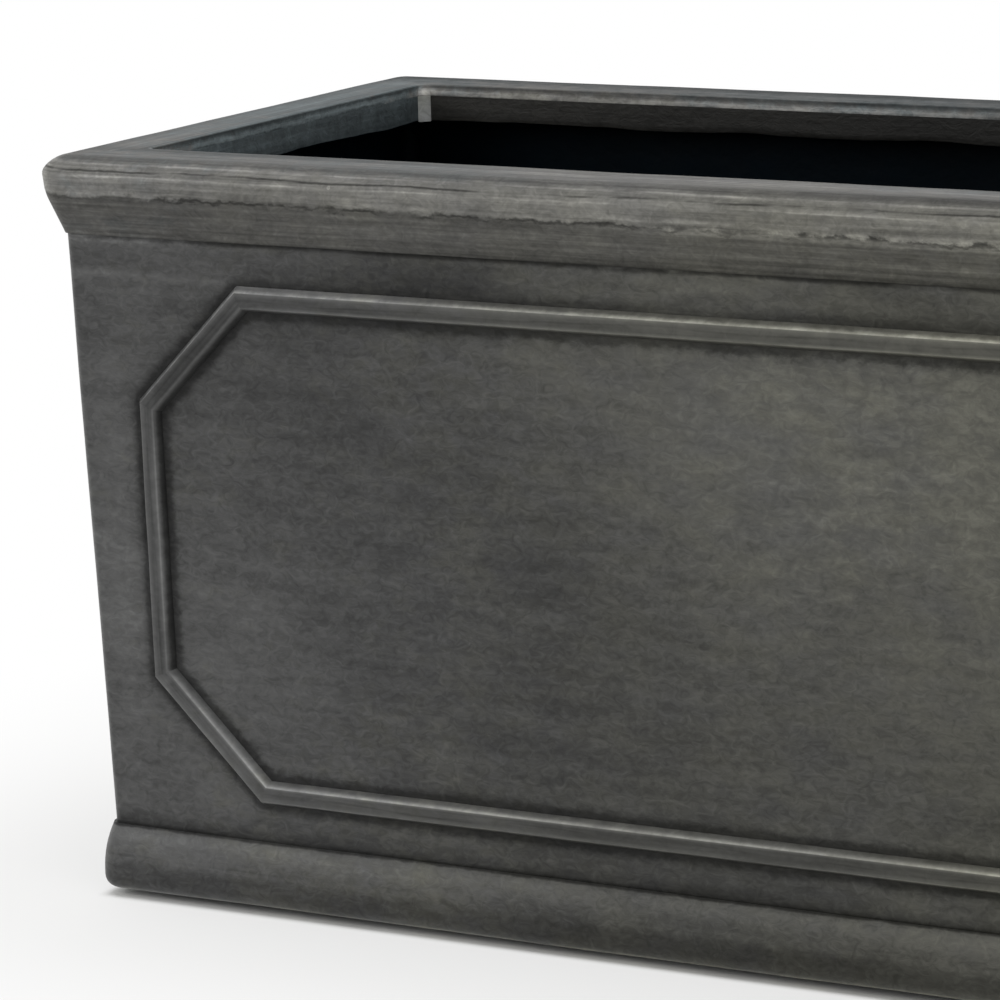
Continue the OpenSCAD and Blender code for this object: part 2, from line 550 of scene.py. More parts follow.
def corner_turn(points: np.ndarray, half_x: np.ndarray | float,
                half_y: np.ndarray | float) -> np.ndarray:
    """Measures how far points are round an upright corner.

    Args:
        points: The points.
        half_x: How far out along X the corner starts to turn, for all or for each.
        half_y: The same along Y.

    Returns:
        0 on the flat sides and 1 in the middle of a corner.
    """
    out_x = np.maximum(np.abs(points[:, X]) - half_x, 0)
    out_y = np.maximum(np.abs(points[:, Y]) - half_y, 0)
    return np.sin(2 * np.arctan2(out_x, np.maximum(out_y, NEVER_ZERO)))


def run_along(section: Sequence[SectionPoint], insets: np.ndarray, heights: np.ndarray) -> np.ndarray:
    """Measures how far along a section points are.

    Args:
        section: The section's points, as inset and height.
        insets: The points' insets.
        heights: The points' heights.

    Returns:
        The distance from the section's start to the place nearest each point.
    """
    best = np.full(len(insets), np.inf)
    result = np.zeros(len(insets))
    run = 0.0
    for (a, b), (c, d) in zip(section, section[1:]):
        long = math.hypot(c - a, d - b)
        share = np.clip(((insets - a) * (c - a) + (heights - b) * (d - b)) / long**2, 0, 1)
        gap = np.hypot(a + share * (c - a) - insets, b + share * (d - b) - heights)
        result = np.where(gap < best, run + share * long, result)
        best = np.minimum(gap, best)
        run += long
    return result


def weigh(obj: bpy.types.Object, name: str, weights: np.ndarray) -> None:
    """Gives a mesh's points weights, leaving out those close to 0.

    Args:
        obj: The piece.
        name: Name of the weights.
        weights: One for each point.
    """
    group = obj.vertex_groups.new(name=name)
    for index in np.nonzero(weights > 0.02)[0]:
        group.add([int(index)], float(weights[index]), "REPLACE")


def unevenness(obj: bpy.types.Object, size: float, depth: float, contrast: float = 1.0,
               **settings: object) -> None:
    """Presses shallow hollows into a surface, as a hand-laid moulding has.

    Args:
        obj: The piece.
        size: Size of the hollows.
        depth: Depth of the deepest.
        contrast: Contrast of the clouds that they follow.
        **settings: Further settings of the modifier.
    """
    texture = bpy.data.textures.new(obj.name + "_hollows", "CLOUDS")
    texture.noise_scale = size
    texture.noise_depth = 2
    texture.contrast = contrast
    settings = {"mid_level": 1.0, "texture_coords": "GLOBAL", **settings}
    modify(obj, "DISPLACE", texture=texture, strength=depth, **settings)


class Nodework:
    """The shader nodes of one material or of the world, added one by one."""

    def __init__(self, name: str, world: bool = False) -> None:
        """Starts with no nodes but the output.

        Args:
            name: Name of the material or the world.
            world: Whether it is the world.
        """
        self.owner = (bpy.data.worlds if world else bpy.data.materials).new(name)
        self.owner.use_nodes = True
        self.tree = self.owner.node_tree
        self.tree.nodes.clear()
        self.out = self.tree.nodes.new("ShaderNodeOutputWorld" if world else "ShaderNodeOutputMaterial")

    def add(self, kind: str, inputs: dict | None = None, **settings: object) -> bpy.types.Node:
        """Adds a node.

        Args:
            kind: The node's type, without its prefix.
            inputs: Values or links for its inputs, by name or number.
            **settings: Its own settings.

        Returns:
            The node.
        """
        node = self.tree.nodes.new("ShaderNode" + kind)
        for key, value in settings.items():
            setattr(node, key, value)
        for key, value in (inputs or {}).items():
            if isinstance(value, Socket):
                self.tree.links.new(value, node.inputs[key])
            else:
                node.inputs[key].default_value = value
        return node

    def math(self, kind: str, first: object, second: object = 0.0, clamp: bool = False) -> Socket:
        """Adds a sum of one or two values and returns its result."""
        return self.add("Math", {0: first, 1: second}, operation=kind, use_clamp=clamp).outputs[0]

    def total(self, parts: Iterable[Socket]) -> Socket:
        """Adds up several values.

        Args:
            parts: The values.

        Returns:
            The sum.
        """
        parts = list(parts)
        result = parts[0]
        for part in parts[1:]:
            result = self.math("ADD", result, part)
        return result

    def seen_rays(self) -> Socket:
        """Tells the rays that show the background from those that light the scene.

        Returns:
            1 for camera, glossy and transmission rays and 0 for the others.
        """
        rays = self.add("LightPath").outputs
        bounced = self.math("ADD", rays["Is Camera Ray"], rays["Is Glossy Ray"])
        return self.math("ADD", bounced, rays["Is Transmission Ray"], clamp=True)

    def objects(self) -> Socket:
        """Returns the piece's own coordinates."""
        return self.add("TexCoord").outputs["Object"]

    def brushing(self) -> Socket:
        """Returns the distances along and across the brushing."""
        return self.add("UVMap", uv_map=BRUSHING).outputs["UV"]

    def attribute(self, name: str) -> Socket:
        """Returns a number that is stored for each point."""
        return self.add("Attribute", attribute_name=name).outputs["Fac"]

    def stretch(self, vector: Socket, sizes: Sequence[float], shift: float = 0.0) -> Socket:
        """Divides a vector by sizes, so that a pattern on it has features that large.

        Args:
            vector: The vector.
            sizes: The features' sizes.
            shift: A shift that gives another part of the pattern.

        Returns:
            The stretched vector.
        """
        scale = tuple(1 / s for s in sizes)
        shifts = (shift, shift * 0.7, shift * 0.3)
        return self.add("Mapping", {"Vector": vector, "Scale": scale, "Location": shifts}).outputs[0]

    def noise(self, vector: Socket, detail: float = 2.0, rough: float = 0.5,
              twist: float = 0.0) -> Socket:
        """Adds noise.

        Args:
            vector: The place that it is read at.
            detail: How many finer layers it has.
            rough: How strong these are.
            twist: How far it is twisted.

        Returns:
            The noise, from -1 to 1 with its middle at 0.
        """
        inputs = {
            "Vector": vector, "Scale": 1.0, "Detail": detail, "Roughness": rough, "Distortion": twist,
        }
        raw = self.add("TexNoise", inputs).outputs["Fac"]
        ends = {"Value": raw, "From Min": 0.25, "From Max": 0.75, "To Min": -1.0, "To Max": 1.0}
        return self.add("MapRange", ends, clamp=True).outputs[0]

    def fade(self, value: Socket, none: float, full: float, soft: bool = False) -> Socket:
        """Turns a value into a share.

        Args:
            value: The value.
            none: Where the share is 0.
            full: Where the share is 1.
            soft: Whether it starts and ends softly.

        Returns:
            The share, from 0 to 1.
        """
        kind = "SMOOTHSTEP" if soft else "LINEAR"
        ends = {"Value": value, "From Min": none, "From Max": full}
        return self.add("MapRange", ends, interpolation_type=kind).outputs[0]

    def ramp(self, value: Socket, stops: Stops, low: float, high: float) -> Socket:
        """Reads a value off a row of stops.

        Args:
            value: The value.
            stops: Pairs of a place and the result there, from -1 to 1.
            low: The place that the ramp starts at.
            high: The place that it ends at.

        Returns:
            The result, from -1 to 1.
        """
        node = self.add("ValToRGB", {"Fac": self.fade(value, low, high)})
        ramp = node.color_ramp
        while len(ramp.elements) < len(stops):
            ramp.elements.new(0.5)
        for element, (at, result) in zip(ramp.elements, stops):
            element.position = (at - low) / (high - low)
            grey = (result + 1) / 2
            element.color = (grey, grey, grey, 1)
        back = {"Value": node.outputs["Color"], "To Min": -1.0, "To Max": 1.0}
        return self.add("MapRange", back).outputs[0]

    def times(self, value: object, factor: object) -> Socket:
        """Returns a value times a factor."""
        return self.math("MULTIPLY", value, factor)

    def vectors(self, kind: str, first: object, second: object) -> Socket:
        """Returns the vector that an operation makes of two."""
        return self.add("VectorMath", {0: first, 1: second}, operation=kind).outputs[0]

    def brightened(self, colour: object, steps: Iterable[Socket]) -> tuple[Socket, Socket]:
        """Makes a colour brighter or darker.

        Args:
            colour: The colour.
            steps: Changes of brightness that add up, where 1 is twice as bright.

        Returns:
            The colour and the factor that it was scaled by.
        """
        bright = self.math("POWER", 2.0, self.total(steps))
        scaled = self.add("VectorMath", {0: colour, "Scale": bright}, operation="SCALE")
        return scaled.outputs[0], bright

    def coat(self, colour: Socket, rough: Socket, shine: object, height: Socket, bump: float,
             depth: float) -> bpy.types.Material:
        """Builds the surface and links it to the output.

        Args:
            colour: Its colour.
            rough: Its roughness.
            shine: Its specular level.
            height: The pattern of its relief.
            bump: Strength of the relief.
            depth: Depth of the relief.

        Returns:
            The material.
        """
        relief = self.add("Bump", {"Height": height, "Strength": bump, "Distance": depth})
        return self.finish(self.add("BsdfPrincipled", {
            "Base Color": colour, "Roughness": rough, "Normal": relief.outputs[0],
            "Specular IOR Level": shine,
        }))

    def finish(self, shader: bpy.types.Node) -> bpy.types.Material | bpy.types.World:
        """Links the shader to the output and returns the material or the world."""
        self.tree.links.new(shader.outputs[0], self.out.inputs["Surface"])
        return self.owner


@dataclass(frozen=True)
class Layer:
    """One layer of unevenness in a finish.

    A size of two numbers lies along and across the brushing, and one of three lies in space. The
    step is a change of brightness, where 1 is twice as bright.
    """

    size: tuple[float, ...]
    step: float
    detail: float = 2.0
    rough: float = 0.55
    twist: float = 0.0
    relief: float = 0.0
    warmth: float = 0.0

    def pattern(self, nodes: Nodework, number: int) -> Socket:
        """Returns the layer's noise.

        Args:
            nodes: The material's nodes.
            number: The layer's place in the row, which sets its pattern apart.

        Returns:
            The noise, from -1 to 1.
        """
        brushed = len(self.size) == 2
        vector = nodes.brushing() if brushed else nodes.objects()
        sizes = (*self.size, 1.0) if brushed else self.size
        spread = nodes.stretch(vector, sizes, 1.7 + 2.9 * number)
        return nodes.noise(spread, self.detail, self.rough, self.twist)


@dataclass(frozen=True)
class Patch:
    """A soft patch that is lighter, darker, warmer or cooler than the finish round it."""

    place: Point
    reach: Point
    step: float = 0.0
    warmth: float = 0.0
    frayed: float = 0.22

    def nearness(self, nodes: Nodework, blots: Socket) -> Socket:
        """Returns how much of the patch there is.

        Args:
            nodes: The material's nodes.
            blots: Noise that breaks its border up.

        Returns:
            1 in its middle and 0 outside.
        """
        shift = nodes.vectors("SUBTRACT", nodes.objects(), self.place)
        scaled = nodes.vectors("DIVIDE", shift, self.reach)
        far = nodes.add("VectorMath", {0: scaled}, operation="LENGTH").outputs["Value"]
        far = nodes.math("ADD", far, nodes.times(blots, self.frayed))
        return nodes.fade(far, 1.0, 0.0, soft=True)


@dataclass(frozen=True)
class Line:
    """A thin lighter or darker line that follows the brushing."""

    at: float
    half_width: float
    step: float
    wander: float = 0.0
    ragged: float = 0.0
    broken: float = 0.0
    gap_size: Point = (0.035, 0.006, 1.0)
    gap_depth: float = 1.6

    def change(self, nodes: Nodework, across: Socket, blots: Socket, wander: Socket) -> Socket:
        """Returns the line's change of brightness.

        Args:
            nodes: The material's nodes.
            across: The distance across the brushing.
            blots: Noise that frays the line.
            wander: Slow noise that moves it to and fro.

        Returns:
            The change.
        """
        moved = nodes.total([across, nodes.times(wander, self.wander), nodes.times(blots, self.ragged)])
        away = nodes.math("ABSOLUTE", nodes.math("SUBTRACT", moved, self.at))
        near = nodes.fade(away, self.half_width, 0.0, soft=True)
        if self.broken:
            spread = nodes.stretch(nodes.brushing(), self.gap_size, 800 * self.at)
            gaps = nodes.times(nodes.noise(spread, 3.0, 0.6), self.gap_depth)
            near = nodes.times(near, nodes.math("ADD", gaps, 1 - self.broken, clamp=True))
        return nodes.times(near, self.step)


@dataclass(frozen=True)
class LeadFinish:
    """A lead-effect gel coat: brushed one way, darkened with a wash and rubbed light on top, with
    painted light and shade laid into its colour: painted shade beside the straps, painted highlight on
    faces that look up, and painted light and shade in some of its zones, lines and patches.

    Strengths are in steps of brightness, where 1 is twice as bright.
    """

    name: str
    colour: Colour
    zones: Stops
    layers: tuple[Layer, ...]
    patches: tuple[Patch, ...] = ()
    lines: tuple[Line, ...] = ()
    ragged: float = 0.8 * MM
    drift: float = 0.6 * MM
    # How dark the wash along the straps is, together with the painted shade beside them.
    wash_and_shade_by_straps: float = 0.0
    corner_rub: float = 0.0
    # Painted highlight, mixed with rubbing, on faces that look up, and painted light on faces that look
    # down.
    upward_rub_and_highlight: float = 0.0
    downward_painted_light: float = 0.0
    specks: float = 0.7
    speck_spacing: float = 0.034
    speck_radius: float = 0.024
    roughness: float = 0.5
    specular: float = 0.32
    bump: float = 0.25
    bump_depth: float = 0.4 * MM
    warmth: float = 0.5
    warm: Colour = (1.01, 1.0, 0.85)
    plain: Colour = (1.0, 1.0, 0.9375)
    cool: Colour = (0.992, 1.0, 1.025)
    blot_size: Point = (0.008, 0.008, 0.005)
    wander_size: Point = (0.07, 0.07, 0.2)
    strap_reach: float = 20 * MM
    # Across each strap's middle line: wash mixed with painted shade on either side of the strap.
    wash_and_shade_stops: Stops = (
        (-15 * MM, 0.0), (-10.5 * MM, -0.05), (-9.2 * MM, -0.14), (-8.2 * MM, -0.40),
        (-7.2 * MM, -0.80), (-6.2 * MM, -0.92), (5 * MM, -1.0), (6.5 * MM, -1.0), (7.3 * MM, -0.7),
        (8.3 * MM, -0.36), (10.0 * MM, -0.10), (15 * MM, 0.0),
    )

    def straps_wash_and_shade(self, nodes: Nodework, blots: Socket) -> Socket:
        """Darkens the wall along the straps: partly the wash that collects there, partly painted shade
        that the raised straps would throw beside them.

        Args:
            nodes: The material's nodes.
            blots: Noise that breaks the wash up.

        Returns:
            The change of brightness.
        """
        gap = nodes.attribute(STRAP_GAP)
        gap = nodes.math("ADD", gap, nodes.times(blots, 1.1 * MM))
        wash = nodes.ramp(gap, self.wash_and_shade_stops, -self.strap_reach, self.strap_reach)
        return nodes.times(wash, self.wash_and_shade_by_straps)

    def rubbed(self, nodes: Nodework, blots: Socket) -> list[Socket]:
        """Lightens upright corners, where the coat is rubbed back, and faces that look up or down: on
        faces that look up this is rubbing mixed with a painted highlight from the light above, and on
        faces that look down it is painted light.

        Args:
            nodes: The material's nodes.
            blots: Noise that breaks the rubbing up.

        Returns:
            The changes of brightness.
        """
        changes = []
        if self.corner_rub:
            turn = nodes.math("POWER", nodes.attribute(CORNER_TURN), 2.0)
            worn = nodes.math("ADD", turn, nodes.times(blots, 0.4), clamp=True)
            crisp = nodes.times(nodes.math("POWER", turn, 5.0), 0.6)
            changes.append(nodes.times(nodes.total([nodes.times(worn, turn), crisp]), self.corner_rub))
        # Faces that look up: rubbing with painted highlight. Faces that look down: painted light.
        if self.upward_rub_and_highlight:
            normal = nodes.add("TexCoord").outputs["Normal"]
            up = nodes.add("SeparateXYZ", {0: normal}).outputs["Z"]
            broken = nodes.math("ADD", nodes.times(blots, 0.3), 0.85, clamp=True)
            faces_up = nodes.times(nodes.fade(up, 0.15, 0.6), broken)
            changes.append(nodes.times(faces_up, self.upward_rub_and_highlight))
            changes.append(nodes.times(nodes.fade(up, -0.15, -0.6), self.downward_painted_light))
        return changes

    def tinted(self, nodes: Nodework, share: Socket) -> Socket:
        """Returns the colour in its cool, plain or warm tint.

        Args:
            nodes: The material's nodes.
            share: 0 where it is cool, a half where it is plain and 1 where it is warm.

        Returns:
            The colour.
        """
        tints = (self.cool, self.plain, self.warm)
        base, *others = [(*(c * t for c, t in zip(self.colour, tint)), 1.0) for tint in tints]
        for number, other in enumerate(others):
            part = nodes.fade(share, number / 2, number / 2 + 0.5)
            base = nodes.add("Mix", {"Factor": part, 6: base, 7: other}, data_type="RGBA").outputs[2]
        return base

    def patterns(self, nodes: Nodework, blots: Socket, ragged: Socket) -> tuple[list[Socket], ...]:
        """Builds the zones, layers and patches.

        Args:
            nodes: The material's nodes.
            blots: Fine noise.
            ragged: The distance across the brushing, frayed by noise.

        Returns:
            The changes of brightness, of hue and of height.
        """
        patterns = [layer.pattern(nodes, number) for number, layer in enumerate(self.layers)]
        low, high = self.zones[0][0], self.zones[-1][0]
        steps = [nodes.times(nodes.ramp(ragged, self.zones, low, high), ZONE_STEPS)]
        hues, heights = [nodes.times(blots, 0.1)], [nodes.times(blots, 0.15)]
        for layer, pattern in zip(self.layers, patterns):
            steps.append(nodes.times(pattern, layer.step))
            if layer.warmth:
                hues.append(nodes.times(pattern, layer.warmth))
            if layer.relief:
                heights.append(nodes.times(pattern, layer.relief))
        for patch in self.patches:
            near = patch.nearness(nodes, blots)
            steps.append(nodes.times(near, patch.step))
            hues.append(nodes.times(near, patch.warmth))
        return steps, hues, heights

    def material(self) -> bpy.types.Material:
        """Builds the finish.

        Returns:
            The material.
        """
        nodes = Nodework(self.name)
        own = nodes.objects()
        blots = nodes.noise(nodes.stretch(own, self.blot_size, 1.3), 4.0, 0.65)
        wander = nodes.noise(nodes.stretch(own, self.wander_size, 4.1), 1.5)
        across = nodes.add("SeparateXYZ", {0: nodes.brushing()}).outputs["Y"]
        ragged = nodes.total([across, nodes.times(blots, self.ragged), nodes.times(wander, self.drift)])
        steps, hues, heights = self.patterns(nodes, blots, ragged)
        steps += [line.change(nodes, across, blots, wander) for line in self.lines]
        # The wash along the straps, with painted shade beside them.
        if self.wash_and_shade_by_straps:
            steps.append(self.straps_wash_and_shade(nodes, blots))
        steps += self.rubbed(nodes, blots)
        cells = nodes.add("TexVoronoi", {"Vector": own, "Scale": 1 / self.speck_spacing})
        speck = nodes.math("LESS_THAN", cells.outputs["Distance"], self.speck_radius)
        steps.append(nodes.times(speck, self.specks))
        share = nodes.math("ADD", nodes.total(hues), self.warmth, clamp=True)
        colour, bright = nodes.brightened(self.tinted(nodes, share), steps)
        shine = nodes.times(nodes.math("MINIMUM", bright, 1.0), self.specular)
        height = nodes.total(heights)
        rough = nodes.math("ADD", nodes.times(height, 0.05), self.roughness, clamp=True)
        return nodes.coat(colour, rough, shine, height, self.bump, self.bump_depth)


@dataclass(frozen=True)
class LaminateFinish:
    """The black inner face of the laminate, with the lay of its glass mat under the resin."""

    name: str = "raw_laminate"
    colour: Colour = (0.0008, 0.0034, 0.0056)
    strand_spacing: float = 0.006
    mat_size: Point = (0.012, 0.003, 0.009)
    run_size: Point = (0.08, 0.08, 0.2)
    roughness: float = 0.6
    specular: float = 0.05
    bump: float = 0.22
    bump_depth: float = 0.5 * MM

    def material(self) -> bpy.types.Material:
        """Builds the finish.

        Returns:
            The material.
        """
        nodes = Nodework(self.name)
        own = nodes.objects()
        cells = {"Vector": own, "Scale": 1 / self.strand_spacing}
        strands = nodes.add("TexVoronoi", cells, feature="DISTANCE_TO_EDGE").outputs["Distance"]
        mat = nodes.noise(nodes.stretch(own, self.mat_size, 1.9), 3.0, 0.6)
        runs = nodes.noise(nodes.stretch(own, self.run_size, 4.4), 2.0)
        height = nodes.total([nodes.times(strands, 1.6), mat])
        colour, _ = nodes.brightened(self.colour, [nodes.times(mat, 0.3), nodes.times(runs, 0.5)])
        rough = nodes.math("ADD", nodes.times(mat, 0.08), self.roughness)
        return nodes.coat(colour, rough, self.specular, height, self.bump, self.bump_depth)


@dataclass(frozen=True)
class RubberFinish:
    """Matt black rubber with a bloom of dust."""

    name: str = "black_rubber"
    colour: Colour = (0.018, 0.018, 0.018)
    skin_size: Point = (0.0009, 0.0009, 0.0009)
    bloom_size: Point = (0.012, 0.012, 0.006)
    roughness: float = 0.72
    specular: float = 0.3
    bump: float = 0.3
    bump_depth: float = 0.15 * MM

    def material(self) -> bpy.types.Material:
        """Builds the finish.

        Returns:
            The material.
        """
        nodes = Nodework(self.name)
        own = nodes.objects()
        skin = nodes.noise(nodes.stretch(own, self.skin_size), 2.0, 0.6)
        bloom = nodes.noise(nodes.stretch(own, self.bloom_size, 2.2), 3.0, 0.6)
        colour, _ = nodes.brightened(self.colour, [nodes.times(bloom, 0.45), nodes.times(skin, 0.2)])
        rough = nodes.math("ADD", nodes.times(bloom, 0.08), self.roughness)
        return nodes.coat(colour, rough, self.specular, skin, self.bump, self.bump_depth)


@dataclass
class Piece:
    """What every sub-assembly does with a piece that it has made."""

    finishes: dict[str, bpy.types.Material]

    def dress(self, obj: bpy.types.Object, node: str, slot: str, body: str = "trough",
              finish: str = "") -> None:
        """Gives a piece its finish and hands it to the frame.

        Args:
            obj: The piece.
            node: The solid that it stands for.
            slot: The record's material slot.
            body: The body that it rides on.
            finish: Name of the finish, or the slot's own.
        """
        if not obj.data.materials:
            obj.data.materials.append(self.finishes[finish or slot])
        activate(obj)
        bpy.ops.object.shade_smooth_by_angle(angle=math.radians(SMOOTH_DEGREES))
        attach(obj, body)
        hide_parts(node)
        log.info("%s stands for %s, %d faces", obj.name, node, len(obj.data.polygons))


@dataclass(frozen=True)
class StrapSizes:
    """The straps' sizes, which the dark wash on the walls follows too."""

    width: float = 10 * MM
    crown: float = 6 * MM
    out: float = 3.4 * MM
    cut: float = 47.6 * MM
    foot_gap: float = 14.9 * MM
    top_gap: float = 16.5 * MM
    side_gap: float = 28.8 * MM

    @property
    def foot(self) -> float:
        """Height of the lower edge."""
        return SIZES.plinth_top + self.foot_gap

    @property
    def top(self) -> float:
        """Height of the upper edge."""
        return SIZES.joint_height - self.top_gap

    @property
    def middle(self) -> float:
        """Height of the middle."""
        return (self.foot + self.top) / 2

    @property
    def slant(self) -> float:
        """The walls' lean, as an angle."""
        return math.atan(SIZES.lean)

    @property
    def half_high(self) -> float:
        """Half the height, measured up the wall."""
        return (self.top - self.foot) / 2 / math.cos(self.slant)

    @property
    def half_runs(self) -> tuple[float, float]:
        """Half the outer length of a strap, on a long wall and on an end.

        Returns:
            The two halves.
        """
        half_long, half_short = (
            half - SIZES.wall_inset(self.middle) - self.side_gap for half in SIZES.halves
        )
        return half_long, half_short


STRAPS = StrapSizes()


@dataclass
class WallShell(Piece):
    """The four leaning walls, laid up in one."""

    corner_steps: int = 6
    grid: float = 5 * MM
    turn_inset: float = 21 * MM
    outer_hollows: Hollows = (70 * MM, 0.5 * MM)
    inner_hollows: Hollows = (25 * MM, 0.9 * MM)

    def tube(self, name: str, extra_inset: float, corner_r: float) -> Workpiece:
        """Makes an open tube that leans as the walls do.

        Args:
            name: Name of the tube.
            extra_inset: How far inside the walls' outside it lies.
            corner_r: Radius of its upright corners.

        Returns:
            The tube, still open in edit mode.
        """
        low, high = SIZES.floor_under, SIZES.rim_under
        foot, head = (
            [half - (SIZES.wall_inset(height) + extra_inset) for half in SIZES.halves]
            for height in (low, high)
        )
        tube = Workpiece.box(name, (-foot[X], -foot[Y], low), (foot[X], foot[Y], high))
        tube.pick(Pick.FACES, lambda f: f.normal.z > 0.9)
        tube.scale((head[X] / foot[X], head[Y] / foot[Y], 1), (0, 0, high))
        tube.pick(Pick.FACES, lambda f: abs(f.normal.z) > 0.9)
        bpy.ops.mesh.delete(type="FACE")
        upright = lambda e: span(e, Z) > 100 * MM
        tube.pick(Pick.EDGES, upright).bevel(corner_r, self.corner_steps)
        for axis in (X, Y):
            tube.pick(Pick.EDGES, lambda e: span(e, axis) > foot[axis])
            tube.cut(round(2 * foot[axis] / self.grid) // 2 - 1)
            tube.pick(Pick.EDGES, lambda e: self.level(e, axis)).cut(1)
        tube.pick(Pick.EDGES, upright).cut(round((high - low) / self.grid) - 1)
        return tube

    @staticmethod
    def level(edge: Edge, axis: int) -> bool:
        """Says whether an edge runs level along an axis and is longer than a corner's steps."""
        return span(edge, axis) > 4 * MM and span(edge, 1 - axis) < MM and span(edge, Z) < MM

    def strap_gap(self, points: np.ndarray) -> np.ndarray:
        """Measures how far points are from the middle line of the strap on their wall.

        Args:
            points: The points.

        Returns:
            The distances, negative inside the panel.
        """
        half_width = STRAPS.width / 2
        half_rise = STRAPS.half_high - half_width
        cut = STRAPS.cut - half_width * (2 - math.sqrt(2))
        rise = np.abs(points[:, Z] - STRAPS.middle)
        gaps, beyond = [], []
        for axis in (X, Y):
            run = np.abs(points[:, axis])
            half_run = STRAPS.half_runs[axis] - half_width
            diagonal = (run + rise - (half_run + half_rise - cut)) / math.sqrt(2)
            gaps.append(np.maximum(np.maximum(run - half_run, rise - half_rise), diagonal))
            beyond.append(run - SIZES.halves[axis])
        return np.where(beyond[Y] > beyond[X], gaps[X], gaps[Y])

    def build(self) -> None:
        """Makes the walls and dresses them."""
        inner = self.tube("hollow", SIZES.wall, SIZES.hollow_corner_r).close()
        walls = self.tube("walls", 0.0, SIZES.wall_corner_r)
        outer = walls.close()
        for tube, finish in ((outer, "aged_lead"), (inner, "raw_laminate")):
            tube.data.materials.append(self.finishes[finish])
        unevenness(outer, *self.outer_hollows)
        unevenness(inner, *self.inner_hollows, mid_level=0.0)
        activate(outer)
        inner.select_set(True)
        bpy.ops.object.join()
        walls.open()
        for height in (SIZES.floor_under, SIZES.rim_under):
            walls.pick(Pick.EDGES, lambda e: e.is_boundary and lies_at(e, Z, height, MM))
            bpy.ops.mesh.bridge_edge_loops()
        walls.face_outwards().close()
        corners, middles = corners_of(outer)
        lay_brushing(outer, around(corners, middles, self.turn_inset), corners[:, Z])
        points = points_of(outer)
        store(outer, STRAP_GAP, self.strap_gap(points))
        insets = SIZES.wall_inset(0.0) - points[:, Z] * SIZES.lean + SIZES.wall_corner_r
        turn = corner_turn(points, *(half - insets for half in SIZES.halves))
        store(outer, CORNER_TURN, turn)
        self.dress(outer, "wall_shell", "aged_lead")


@dataclass
class SweptMoulding(Piece):
    """A moulding whose section runs round the trough."""

    corner_inset: float = 14 * MM
    corner_steps: int = 8

    @property
    def turn(self) -> tuple[float, float]:
        """The point that the front left corner turns about."""
        return self.corner_inset - SIZES.halves[X], self.corner_inset - SIZES.halves[Y]

    def quarter(self, name: str, section: Sequence[SectionPoint], closed: bool = False) -> Workpiece:
        """Sweeps a section along half the front, round the left corner and along half the end.

        Args:
            name: Name of the piece.
            section: The section's points, as inset and height.
            closed: Whether its last point is joined to the first.

        Returns:
            The quarter, still open in edit mode.
        """
        turn_x, turn_y = self.turn
        points = [(turn_x, inset - SIZES.halves[Y], height) for inset, height in section]
        piece = Workpiece.chain(name, points, closed)
        piece.extrude((-turn_x, 0, 0))
        piece.pick(Pick.EDGES, lambda e: lies_at(e, X, turn_x))
        bpy.ops.mesh.spin(
            steps=self.corner_steps, angle=math.pi / 2, center=(turn_x, turn_y, 0), axis=(0, 0, 1)
        )
        return piece.extrude((0, -turn_y, 0)).merge()

    def mirror(self, piece: Workpiece) -> Workpiece:
        """Mirrors a quarter to the whole ring.

        Args:
            piece: The quarter.

        Returns:
            The ring, open in edit mode.
        """
        modify(piece.close(), "MIRROR", use_axis=(True, True, False), merge_threshold=TINY)
        return piece.open().merge().face_outwards()

    def at(self, inset: float, height: float) -> Callable[[Edge], bool]:
        """Makes a test for edges that run round the ring at an inset and a height.

        Args:
            inset: The inset.
            height: The height.

        Returns:
            The test.
        """
        def test(edge: Edge) -> bool:
            """Says whether the edge runs there."""
            insets = inset_of(np.array([v.co[:] for v in edge.verts]), self.corner_inset)
            return lies_at(edge, Z, height) and bool(np.all(np.abs(insets - inset) < 2 * TINY))
        return test

    def divide_runs(self, piece: Workpiece, step: float) -> None:
        """Cuts the long runs into short steps, so that they can be uneven.

        Args:
            piece: The ring.
            step: Length of a step.
        """
        for axis, half in enumerate(SIZES.halves):
            whole = lambda e: span(e, axis) > half / 2 and span(e, 1 - axis) < MM
            piece.pick(Pick.EDGES, whole).cut(round(half / step / 2) - 1)
            halves = lambda e: (
                1.2 * step < span(e, axis) < 3 * step and span(e, 1 - axis) < MM
                and span(e, Z) < MM and self.on_run(e, axis)
            )
            piece.pick(Pick.EDGES, halves).cut(1)

    def on_run(self, edge: Edge, axis: int) -> bool:
        """Says whether an edge lies on the straight run along an axis."""
        reach = SIZES.halves[axis] - self.corner_inset
        return all(abs(v.co[axis]) < reach + TINY for v in edge.verts)

    def brush(self, obj: bpy.types.Object, line: Sequence[SectionPoint]) -> None:
        """Lays the brushing round the ring and stores where its corners turn.

        Args:
            obj: The ring.
            line: The section that distances across are measured along.
        """
        corners, middles = corners_of(obj)
        across = run_along(line, inset_of(corners, self.corner_inset), corners[:, Z])
        lay_brushing(obj, around(corners, middles, self.corner_inset), across)
        straight = (half - self.corner_inset for half in SIZES.halves)
        store(obj, CORNER_TURN, corner_turn(points_of(obj), *straight))


